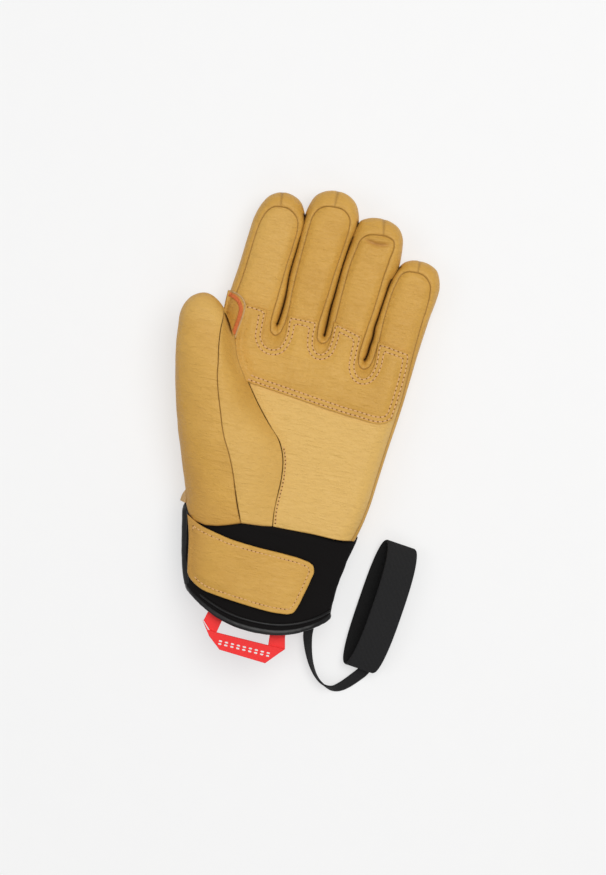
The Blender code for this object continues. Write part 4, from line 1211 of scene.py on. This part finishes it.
def thumb_inner():
    """The panel between the thumb's length seam and the palm, which runs up as a web to the index finger."""
    rise = np.concatenate([np.linspace(WRIST_Y, 58, 110), np.linspace(58.6, 63.4, 9)])
    near = np.array([0, 0.006, 0.014, 0.024, 0.036])
    share = np.concatenate([near, np.linspace(0.06, 0.94, 30), [0.964, 0.976, 0.986, 0.994, 1]])
    y, p = np.meshgrid(rise, share, indexing="ij")
    inner_x, inner_z, seam_x, seam_z, *_ = table_at(thenar_table, y)
    web_x, _ = table_at(np.array(WEB, float), y)
    web_z = front_height(web_x.ravel(), y.ravel()).reshape(y.shape) + np.interp(y, *zip(*WEB_LIFT))
    high = y > THUMB_ROOT_Y
    inner_x, inner_z = np.where(high, web_x, inner_x), np.where(high, web_z, inner_z)
    seam_point = free_thumb(y, table_at(thumb_table, y)[4])
    weight = ease((y - FREE_FROM) / FREE_OVER)
    seam_x = seam_x * (1 - weight) + seam_point[..., 0] * weight
    seam_z = seam_z * (1 - weight) + seam_point[..., 2] * weight
    x = inner_x + (seam_x - inner_x) * p
    z = inner_z + (seam_z - inner_z) * np.sin(p * math.pi / 2) ** np.interp(y, *zip(*WEB_BEND))
    grid = np.stack([x, y, z], -1)
    grid[..., 1] -= np.where(y < -40, 1.4 * p * (1 - ease((y - WRIST_Y) / 26)), 0)
    from_palm = gone_along(grid)
    from_seam = from_palm[:, -1:] - from_palm
    from_palm = from_palm + 3 * ease((y - 21) / 5)
    return grid, np.minimum(np.minimum(from_palm, from_seam), gone_along(grid, 0)), y


def thumb_under():
    """The underside of the free thumb, on the side of the palm."""
    y, q = np.meshgrid(thumb_rise(FREE_FROM, 26, 20), np.linspace(0, 1, 26), indexing="ij")
    first = table_at(thumb_table, y)[4] - 1.0
    first = np.minimum(first, np.interp(y, [46, 56, 60, 60.1], [-4, 12, 20, 90]))
    low = LAST_ANGLE - 360
    grid = free_thumb(y, low + (first - low) * q)
    from_back = gone_along(grid)
    return grid, np.minimum(from_back, from_back[:, -1:] - from_back + 2 * (y < 60)), y


def thumb_relief(points):
    creases = rough(points, (26, 1.7, 30), 11.0)
    soft = 0.5 * rough(points, (20, 26, 30), 13.0) + 0.16 * rough(points, (7, 9, 12), 17.0)
    x = points[:, 0]
    inner = ease((x + 62) / 12) * ease((28 - points[:, 1]) / 16)
    return soft + 0.11 * creases * (0.4 + inner)


THUMB_HINGE = np.array([-60.0, 22.0, 47.6])
THUMB_ACROSS = np.array([-0.4359, 0.9, 0.0])  # at right angles to the axis that the thumb's root bends about
THUMB_CUT_Y = (THUMB_ROOT_Y + 10 + THUMB_BEND_Y - 8) / 2  # between its two bends
THUMB_NODES = {
    "outer": {"root": "thumb_root_outer", "base": "thumb_base_outer", "tip": "thumb_tip_shell"},
    "inner": {"root": "thumb_root_inner", "base": "thumb_base_inner"},
    "under": {},
}


def attach_thumb(piece, region, slot, *nodes):
    """Rides a piece on the hand when it is in the thumb's root; a base or tip piece only has its transform
    baked in.
    """
    if region == "root":
        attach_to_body(piece, "hand")
    elif region == "base":
        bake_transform(piece)
    else:
        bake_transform(piece)
    if nodes:
        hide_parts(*nodes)


def make_thumb():
    panels = {"outer": thumb_outer(), "inner": thumb_inner(), "under": thumb_under()}
    for word, (grid, edge, y) in panels.items():
        skin = grid_skin(grid, painted_seam_shade(edge))
        facing = skin.normals[:, 2] if word == "inner" else (skin.points[:, 0] + 70) * skin.normals[:, 0]
        if facing.mean() < 0:
            skin.flip()
        tip = 1 - ease((y.ravel() - 64) / 5)
        skin.push(thumb_relief(skin.points) * ease(edge.ravel() / 3) * tip - roll(edge, 0.45).ravel())
        x, y, z = skin.points.T
        if word == "inner":
            near_palm = ease((y - 20) / 8) * ease((39 - z) / 8)
            skin.tone = 0.25 + 0.4 * ease((20 - y) / 40) + 0.5 * near_palm
            # Painted shade: a thin seam-brown line on the web just above the palm patch's top, where the web
            # rises from it.
            line = bell(z - front_height(x, y) - 1.7, 0.7) * ease((y - 21) / 3)
            skin.seam = np.maximum(skin.seam, 0.5 * line * ease((57 - y) / 4))
        if word == "outer":
            # Painted shade: a dark band along the thumb's lower side near z 24 and darker below z 40; painted
            # highlight: paler over its top, most towards the tip.
            painted_side_shade = bell(z - 24, 2.2) * ease((y - 28) / 10) * ease((66 - y) / 4)
            top = (0.2 + 0.4 * ease((y - 44) / 14)) * ease((z - 36) / 8)
            skin.tone = top - 0.9 * painted_side_shade - 0.3 * ease((40 - z) / 8)
        centres = skin.centres()
        upper = centres[:, 1] > THUMB_CUT_Y
        lower = ((centres - THUMB_HINGE) @ THUMB_ACROSS > -8) & ~upper
        for region, keep in (("root", ~upper & ~lower), ("base", lower), ("tip", upper)):
            if keep.any():
                piece = to_object(f"thumb_{region}_{word}_leather", skin, TAN, keep)
                nodes = [THUMB_NODES[word][region]] if region in THUMB_NODES[word] else []
                attach_thumb(piece, region, "leather", *nodes)


make_thumb()

# ---------------------------------------------------------------- cuff, strap and trimmings
CUFF = (
    (-56.4, -59.4, 48.9, 28.0), (-60.9, -60.5, 48.3, 30.4), (-63, -60.5, 47.8, 33.3),
    (-68, -59.6, 46.5, 33.6), (-76, -58, 44.9, 34.2), (-90, -55, 42.7, 35.2),
    (-100, -52.2, 42.0, 36), (-111, -47.9, 42.1, 37), (-128, -44, 41.4, 38),
)
CUFF_LIFT, CUFF_THICKNESS, CUFF_ROUNDNESS = 0.5, 1.8, 2.3
HEM_SIDE_Y, HEM_DIP_PALM, HEM_DIP_BACK = -107.5, 15.8, 7.0
CUFF_START_Y, CUFF_AROUND = -57, 260
TRIM_ANGLE = 164.0  # where the seam tape runs down the cuff's side
TRIM_TILT = math.radians(-40)
cuff_table = smooth_line(CUFF[::-1], 0.5)


def cuff_point(y, angle, inset):
    """A point on the cuff's oval section, angle degrees from +X towards +Z."""
    left, right, height = (np.interp(y, cuff_table[:, 0], cuff_table[:, i]) for i in (1, 2, 3))
    turn = np.radians(angle)
    x = (left + right) / 2 + ((right - left) / 2 - inset) * power(np.cos(turn), 2 / CUFF_ROUNDNESS)
    z = height / 2 + (height / 2 - inset) * power(np.sin(turn), 2 / CUFF_ROUNDNESS)
    return np.stack([x, y + 0 * x, CUFF_LIFT + z], -1)


def cuff_top(x, y, rise):
    """The height of the cuff's palm side over a place, plus a rise."""
    left, right, height = (np.interp(y, cuff_table[:, 0], cuff_table[:, i]) for i in (1, 2, 3))
    share = np.minimum(1, np.abs((x - (left + right) / 2) / ((right - left) / 2 + rise)))
    lift = np.maximum(0, 1 - share**CUFF_ROUNDNESS) ** (1 / CUFF_ROUNDNESS)
    return CUFF_LIFT + height / 2 + (height / 2 + rise) * lift


def hem_y(angle):
    """Where the cuff's fabric ends, which dips on the palm side."""
    dip = np.where(np.sin(np.radians(angle)) > 0, HEM_DIP_PALM, HEM_DIP_BACK)
    return HEM_SIDE_Y - dip * np.abs(np.sin(np.radians(angle))) ** 1.9


def cuff_shell(first_y, inset, rows=60):
    """A ring of the cuff's fabric from a height down to the hem."""
    angles = np.linspace(0, 360, CUFF_AROUND, endpoint=False)
    y = first_y + (hem_y(angles) - first_y) * np.linspace(0, 1, rows)[:, None]
    return grid_skin(cuff_point(y, np.broadcast_to(angles, y.shape), inset), closed=True)


def hem_tape():
    """The binding that wraps the hem, as a ring of oval section."""
    angles = np.linspace(0, 360, CUFF_AROUND, endpoint=False)
    ring = []
    for turn in np.linspace(0, 2 * math.pi, 17)[:-1]:
        drop = 1.9 + 1.9 * math.cos(turn)
        depth = CUFF_THICKNESS / 2 + (CUFF_THICKNESS / 2 + 0.5) * power(math.sin(turn), 0.6)
        ring.append(cuff_point(hem_y(angles) - drop + 0.6, angles, depth))
    tape = ring_skin(np.stack(ring, 0))
    outward = np.where(tape.points[:, 2] > 20, 1, -1)
    if (tape.normals[:, 2] * outward * (np.arange(len(tape.points)) // CUFF_AROUND == 12)).sum() < 0:
        tape.flip()
    return tape.push(0.16 * rough(tape.points, (2.2, 5, 2.2), 41.0))


def make_cuff():
    skin = cuff_shell(CUFF_START_Y, 0.0)
    centre = skin.points.mean(0)
    facing_out(skin, centre)
    y = skin.points[:, 1]
    relief = 0.45 * rough(skin.points, (16, 9, 16), 21.0) + 0.2 * rough(skin.points, (7, 4, 7), 23.0)
    skin.push(relief * ease((-62 - y) / 6) - roll(CUFF_START_Y - y, 1.2))
    place("cuff_softshell", skin, SOFTSHELL, "hand", "cuff_fabric", "cuff_palm_panel", "cuff_back_panel")

    inner = cuff_shell(-61.5, CUFF_THICKNESS)
    facing_out(inner, centre)
    inner.flip()
    inner.push(0.5 * rough(inner.points, (5, 5, 5), 31.0))
    place("cuff_lining", inner, FLEECE, "hand", "lining_fleece")

    place("cuff_hem_tape", hem_tape(), BINDING, "hand", "binding", "cuff_hem_binding")
    angles = np.linspace(12, 140, 110)
    ridge = cuff_point(hem_y(angles) + 3.4, angles, -0.25)
    place("cuff_hem_ridge", tube(ridge, 0.75), BINDING, "hand", "binding")

    tab = smooth_line([(-59.4, -51.6, 21), (-60.7, -54.6, 20.5), (-61.2, -58.4, 20)], 0.8)
    tab = close_ends(sweep_band(tab, np.full(len(tab), TRIM_TILT), 4.6, 1.5))
    place("cuff_side_tab", tab, CUT_EDGE, "hand", "leather")
    edge = np.array([cuff_point(y, TRIM_ANGLE, 0.1) for y in np.linspace(-56.6, -107, 40)])
    trim = sweep_band(edge, np.full(len(edge), TRIM_TILT), 4.6, 1.4)
    trim.push(0.1 * rough(trim.points, (3, 4, 3), 43.0))
    place("cuff_side_trim", close_ends(trim), BINDING, "hand", "binding")


make_cuff()

STRAP_TOP = (
    (-56.6, -65.2), (-47.5, -69.6), (-36.5, -72.3), (-27.6, -74), (-12.2, -75.4), (5.6, -76.1),
    (16.6, -76.9), (22.1, -77.9),
)
STRAP_END = (
    (22.1, -77.9), (25.1, -79.7), (26.3, -83), (25.4, -88.5), (23, -98.5), (20.9, -106), (19, -109.8),
    (15.5, -111.5),
)
STRAP_LOW = (
    (15.5, -111.5), (6.7, -112), (-6.7, -111.3), (-18.7, -110.2), (-29.6, -109), (-37.8, -107.7),
    (-43.8, -105), (-47.2, -102.4), (-49.2, -99.6),
)
STRAP_ROOT = ((-49.2, -99.6), (-50.2, -94), (-53.2, -77), (-56.6, -65.2))


def slab_skin(outline, spacing, top, thickness, edge_radius=0.5):
    """A cut sheet: its top follows a height, its edge is rounded, and walls go down to its underside."""
    flat, faces, distance = fill_outline(outline, spacing)
    z = top(*flat.T, distance)
    upper = np.column_stack([flat, z - roll(distance, edge_radius)])
    lower = np.column_stack([flat, z - thickness])
    faces = faces if Skin(upper, faces).normals[:, 2].mean() > 0 else faces[:, ::-1]
    count, total = len(outline), len(flat)
    clockwise = signed_area(outline) < 0
    walls = []
    for a in range(count):
        b = (a + 1) % count
        if clockwise:
            a, b = b, a
        walls += [(a, a + total, b + total), (a, b + total, b)]
    made = Skin(np.vstack([upper, lower]), np.vstack([faces, faces[:, ::-1] + total, walls]))
    return made, np.concatenate([distance, distance])


def strap_top(x, y, distance):
    dent = 0.4 * bell(distance - 3.0, 0.6)
    soft = 0.3 * flat_rough(x, y, (18, 12, 40), 51.0) + 0.1 * flat_rough(x, y, (6, 5, 40), 53.0)
    return cuff_top(x, y, 3.3) + 0.7 * ease(distance / 7) - dent + soft


def make_strap():
    outline = chain(STRAP_TOP, STRAP_END, STRAP_LOW, STRAP_ROOT)
    skin, _ = slab_skin(outline, 1.3, strap_top, 1.8, 0.7)
    skin.tone = -0.5 * ease((-34 - skin.points[:, 0]) / 20)
    place("wrist_strap_leather", skin, PALE, "strap", "leather_patch", "wrist_strap", sharp=55)
    line = even(inner_line(outline, 3.0), 2.6, True)
    line = line[(line[:, 0] > -46) | (line[:, 1] > -76)]
    thread_row("strap_stitches", line, lambda q: strap_top(*q.T, distance_to(outline, q)), "strap", 0.7, 0.36)


make_strap()


def make_hook():
    corners = [(-8, -81), (20.5, -83.5), (17, -107), (-8, -108)]
    outline = chain(*zip(corners, corners[1:] + corners[:1]))
    skin, _ = slab_skin(outline, 2.5, lambda x, y, distance: cuff_top(x, y, 1.7), 1.0, 0.3)
    place("strap_hook_pad", skin, HOOK, "strap", "hook_tape", "strap_hook_tape")


make_hook()

PATCH_RISE = 1.3


PATCH_EDGE = (
    # up the thumb's side and over the index finger's tab
    ((-38.6, 21.8), (-44.4, 30), (-49, 40), (-50.2, 48), (-49.6, 58), (-49.2, 65.5), (-47.6, 68.4)),
    ((-47.6, 68.4), (-35, 66.9)),
    # notch, middle finger's tab
    (
        (-35, 66.9), (-34.7, 56), (-34.2, 50), (-31.8, 46.6), (-27.6, 45), (-23.4, 46.6), (-21.5, 51),
        (-21.3, 66.7),
    ),
    ((-21.3, 66.7), (-2.8, 66.8)),
    # notch, ring finger's tab
    ((-2.8, 66.8), (-2.7, 55), (-1.2, 50), (2, 48.1), (5, 50), (6.5, 55), (6.7, 68.8)),
    ((6.7, 68.8), (25.4, 63.7)),
    # notch, little finger's tab
    (
        (25.4, 63.7), (25.2, 50), (25.6, 44), (27.4, 40.4), (30.6, 38.8), (33.8, 40.6), (35.5, 44.6),
        (35.8, 62.3),
    ),
    ((35.8, 62.3), (56.8, 59.2)),
    # down the right side and back along the low edge
    ((56.8, 59.2), (57, 45), (55.8, 30), (54.2, 17)),
    ((54.2, 17), (50, 14.2), (30, 13.8), (10, 15.8), (-10, 18.3), (-38.6, 21.8)),
)


PATCH_ROWS = (1.4, 4.2)  # how far the stitch rows are from the edge


def patch_top(x, y, distance):
    dent = sum(0.3 * bell(distance - row, 0.55) for row in PATCH_ROWS)
    puff = 0.6 * ease((distance - 4.5) / 4)
    lines = flat_rough(x, y, (2.2, 20, 40), 61.0) * bell(x + 4, 30)
    soft = 0.4 * flat_rough(x, y, (13, 16, 40), 63.0)
    return front_height(x, y) + PATCH_RISE - dent + puff + (0.3 * lines + soft) * ease(distance / 5)


def make_patch():
    outline = chain(*PATCH_EDGE)
    skin, _ = slab_skin(outline, 1.1, patch_top, 1.6, 0.45)
    place("palm_patch_leather", skin, PALE, "hand", "leather_patch", "palm_patch", sharp=55)
    for row in PATCH_ROWS:
        line = even(inner_line(outline, row), 2.9, True)
        x, y = line.T
        beside_thumb = (x < -41.6) & (y > 24) & (y < 64) | (x < -38) & (y > 25.4) & (y < 34)
        line = line[~beside_thumb & (x > -48) & ((row < 2) | (y < 63.2))]
        name = f"patch_stitches_{row:.0f}"
        thread_row(name, line, lambda q: patch_top(*q.T, distance_to(outline, q)), "hand")


make_patch()


INDEX_SIDE_X, INDEX_SIDE_Z = -61.2, 3.5  # the side that the patch runs to, and how far down it reaches
INDEX_UNDER_Y = 46  # below it the patch lies low, under the thumb


def make_index_leather():
    edge = smooth_line(INDEX_PATCH_EDGE, 0.5)
    order = np.argsort(edge[:, 1])
    rows = np.concatenate([np.linspace(20, 45.4, 30), np.linspace(INDEX_UNDER_Y, 74.3, 48)])
    inner_x = np.interp(rows, edge[order, 1], edge[order, 0])
    share = np.concatenate([[0, 0.02, 0.05, 0.1], np.linspace(0.18, 1, 16)])
    side = INDEX_SIDE_X - 0.4 * np.sin(np.linspace(0, math.pi, 9)[1:])
    grid = []
    for y, x0 in zip(rows, inner_x):
        x = x0 + (INDEX_SIDE_X - x0) * share
        z = front_height(x, np.full(len(x), y)) + 1.15 - 12.0 * (y < INDEX_UNDER_Y)
        down = z[-1] + (INDEX_SIDE_Z - z[-1]) * np.linspace(0, 1, 9)[1:]
        x = np.concatenate([x, side])
        grid.append(np.column_stack([x, np.full(len(x), y), np.concatenate([z, down])]))
    grid = np.array(grid)
    distance = distance_to(edge, grid.reshape(-1, 3)[:, :2], closed=False)
    skin = grid_skin(grid, 0.5 * painted_seam_shade(distance.reshape(grid.shape[:2])))
    if skin.normals[:, 0].mean() > 0:
        skin.flip()
    skin.push(0.35 * rough(skin.points, (9, 12, 9), 71.0) * ease(distance / 3) - roll(distance, 0.5))
    skin.tone = np.full(len(skin.points), -0.1)
    return skin


def make_index_patch():
    """The reinforcement on the index finger's thumb side, with its satin-stitched band and piped edge."""
    place("index_side_leather", make_index_leather(), TAN, "hand", "leather", "index_side_patch")
    line = even(smooth_line(CORAL_LINE, 0.4), 0.6, False)
    way = unit(np.gradient(line, axis=0))
    across = 1.35 * np.column_stack([-way[:, 1], way[:, 0]])
    lift = front_height(*line.T)[:, None] + 1.55 - 0.3
    satin = capsules(np.hstack([line - across, lift]), np.hstack([line + across, lift]), 0.36, 0.5)
    place("index_side_satin_band", satin, CORAL, "hand", "leather")
    cord = smooth_line(INDEX_PATCH_EDGE, 0.7)
    route = np.column_stack([cord, front_height(*cord.T) + 0.95])
    place("index_side_piping", tube(route, 0.62), CUT_EDGE, "hand", "leather")


make_index_patch()


def make_seam_stitches():
    """The small stitches beside the thumb's seam on the palm."""
    seam = np.vstack([smooth_line(THUMB_SEAM, 0.8), [(-37, 21.5)]])
    way = np.gradient(seam, axis=0)
    way /= np.linalg.norm(way, axis=1)[:, None] + 1e-9
    beside = seam + 1.5 * np.column_stack([way[:, 1], -way[:, 0]])
    line = even(beside, 2.3, False)
    line = line[(line[:, 1] < -11) & (line[:, 1] > -61)]

    def height(places):
        return front_surface(places, distance_to(front_outline, places))[:, 2]

    thread_row("thumb_seam_stitches", line, height, "hand", 0.6, 0.3)


make_seam_stitches()

# ---------------------------------------------------------------- red pull loop
LOOP_Z, WEBBING = 30.6, 0.9
LEFT_LEG = [(-30.6, -116), (-21.3, -119.5), (-24.0, -131.6), (-23, -137), (-33.4, -126.2)]
RIGHT_LEG = [(7.6, -121), (17.2, -120), (17.4, -126), (18.9, -133.2), (9.4, -143.2), (8.3, -132.8)]
BAND = [
    (-34.1, -126.0), (-29.5, -131.2), (-24.0, -131.7), (8.1, -132.8), (18.9, -133.0), (8.8, -144.0),
    (-20.1, -141.7), (-28.1, -134.8),
]
DASH_START, DASH_PITCH, DASH_COUNT = (-20.6, -137.3), 3.75, 9
DASH_WAY, DASH_RISE = np.array([0.9995, -0.035]), np.array([0.035, 0.9995])


def webbing_skin(corners, z):
    """A flat piece of the loop's webbing with straight sides."""
    sides = []
    for a, b in zip(corners, corners[1:] + corners[:1]):
        sides.append(np.linspace(a, b, max(3, int(math.dist(a, b) / 0.6)), endpoint=False))

    def top(x, y, distance):
        return z + 0.12 * flat_rough(x, y, (8, 6, 10), 81.0)

    return slab_skin(np.vstack(sides), 1.0, top, WEBBING, 0.25)[0]


def make_pull_loop():
    legs = joined([webbing_skin(leg, LOOP_Z - 0.05) for leg in (LEFT_LEG, RIGHT_LEG)])
    place("pull_loop_legs", legs, RED, "pull_loop", "red_webbing", "pull_loop", sharp=50)
    band = webbing_skin(BAND, LOOP_Z + WEBBING)
    place("pull_loop_band", band, RED, "pull_loop", "red_webbing", sharp=50)
    starts, ends = [], []
    for step in range(DASH_COUNT):
        centre = np.array(DASH_START) + DASH_WAY * DASH_PITCH * step
        for side in (-0.55, 0.55):
            middle = centre + DASH_RISE * side * 1.6
            starts.append((*(middle - DASH_WAY * 1.05), LOOP_Z + WEBBING + 0.1))
            ends.append((*(middle + DASH_WAY * 1.05), LOOP_Z + WEBBING + 0.1))
    dashes = capsules(np.array(starts), np.array(ends), 0.5, 0.16)
    place("pull_loop_woven_dashes", dashes, WHITE, "pull_loop", "red_webbing", sharp=50)


make_pull_loop()

# ---------------------------------------------------------------- linings
LINING_DEPTH = 2.4  # how far the lining's face is inside the leather's


def lining_tube(rows):
    """A closed sleeve from rows of (y, left, right, low, high)."""
    turns = np.linspace(0, 2 * math.pi, 40, endpoint=False)
    grid = []
    for y, left, right, low, high in rows:
        x = (left + right) / 2 + (right - left) / 2 * power(np.cos(turns), 0.8)
        z = (low + high) / 2 + (high - low) / 2 * power(np.sin(turns), 0.8)
        grid.append(np.column_stack([x, np.full(40, y), z]))
    return grid_skin(np.array(grid), closed=True)


def finger_rows(name):
    """The rows of a finger's sleeve, which ends in a round tip."""
    start, end = LOW_Y[name] - 4, TIP_START[name]
    tip = float(side_lines[name][:, 1].max()) - end - LINING_DEPTH
    rows = []
    for y in np.linspace(start, end, 40):
        rows.append((y, side_x(name, 0, y) + LINING_DEPTH, side_x(name, 1, y) - LINING_DEPTH, 2.8, 22.0))
    _, left, right, low, high = rows[-1]
    for turn in np.linspace(0.15, math.pi / 2, 9):
        size = math.cos(turn) * 0.98 + 0.02
        centre, level = (left + right) / 2, (low + high) / 2
        reach, rise = (right - left) / 2 * size, (high - low) / 2 * size
        rows.append((end + tip * math.sin(turn), centre - reach, centre + reach, level - rise, level + rise))
    return rows


def hand_rows():
    rows = []
    for y in np.linspace(WRIST_Y, 42, 50):
        left = np.interp(y, [-62, -20, 10, 42], [-52, -50, -46, -46])
        droop = 4 * ease((y - 16) / 26)
        rows.append((y, left, float(ulnar_x(y)) - 4, 2.8 + droop / 2, palm_top(y) - 4 - droop))
    y, left, right, low, high = rows[-1]
    for share in (0.25, 0.5, 0.75, 0.98):
        level = (low + high) / 2
        rows.append((y + 2 * share, left, right, low + (level - low) * share, high - (high - level) * share))
    return rows


def thumb_rows():
    rows = []
    for y in np.linspace(26, 66, 40):
        centre_x, centre_z, half_width, half_height, _ = (float(v) for v in table_at(thumb_table, y))
        size = (1 - (max(0.0, y - 46) / 21) ** 2) ** 0.5
        reach, rise = (half_width - 4) * size + 0.05, (half_height - 4) * size + 0.05
        rows.append((y, centre_x - reach, centre_x + reach, centre_z - rise, centre_z + rise))
    return rows


def make_linings():
    for name in NAMES:
        skin = lining_tube(finger_rows(name))
        upper = skin.centres()[:, 1] > CUT_Y[name]
        for part, keep in (("lower", ~upper), ("upper", upper)):
            piece = to_object(f"{name}_{part}_lining", skin, FLEECE, keep)
            attach(piece, f"{name}_{part}", f"{name}_{CAD_PART[part]}_lining", slot="lining_fleece")
    sleeve = lining_tube(hand_rows())
    place("hand_lining", sleeve, FLEECE, "hand", "lining_fleece", "palm_lining", "back_lining")
    skin = lining_tube(thumb_rows())
    upper = skin.centres()[:, 1] > THUMB_CUT_Y
    for part, keep in (("lower", ~upper), ("upper", upper)):
        piece = to_object(f"thumb_{part}_lining", skin, FLEECE, keep)
        attach_thumb(piece, CAD_PART[part], "lining_fleece", f"thumb_{CAD_PART[part]}_lining")


make_linings()
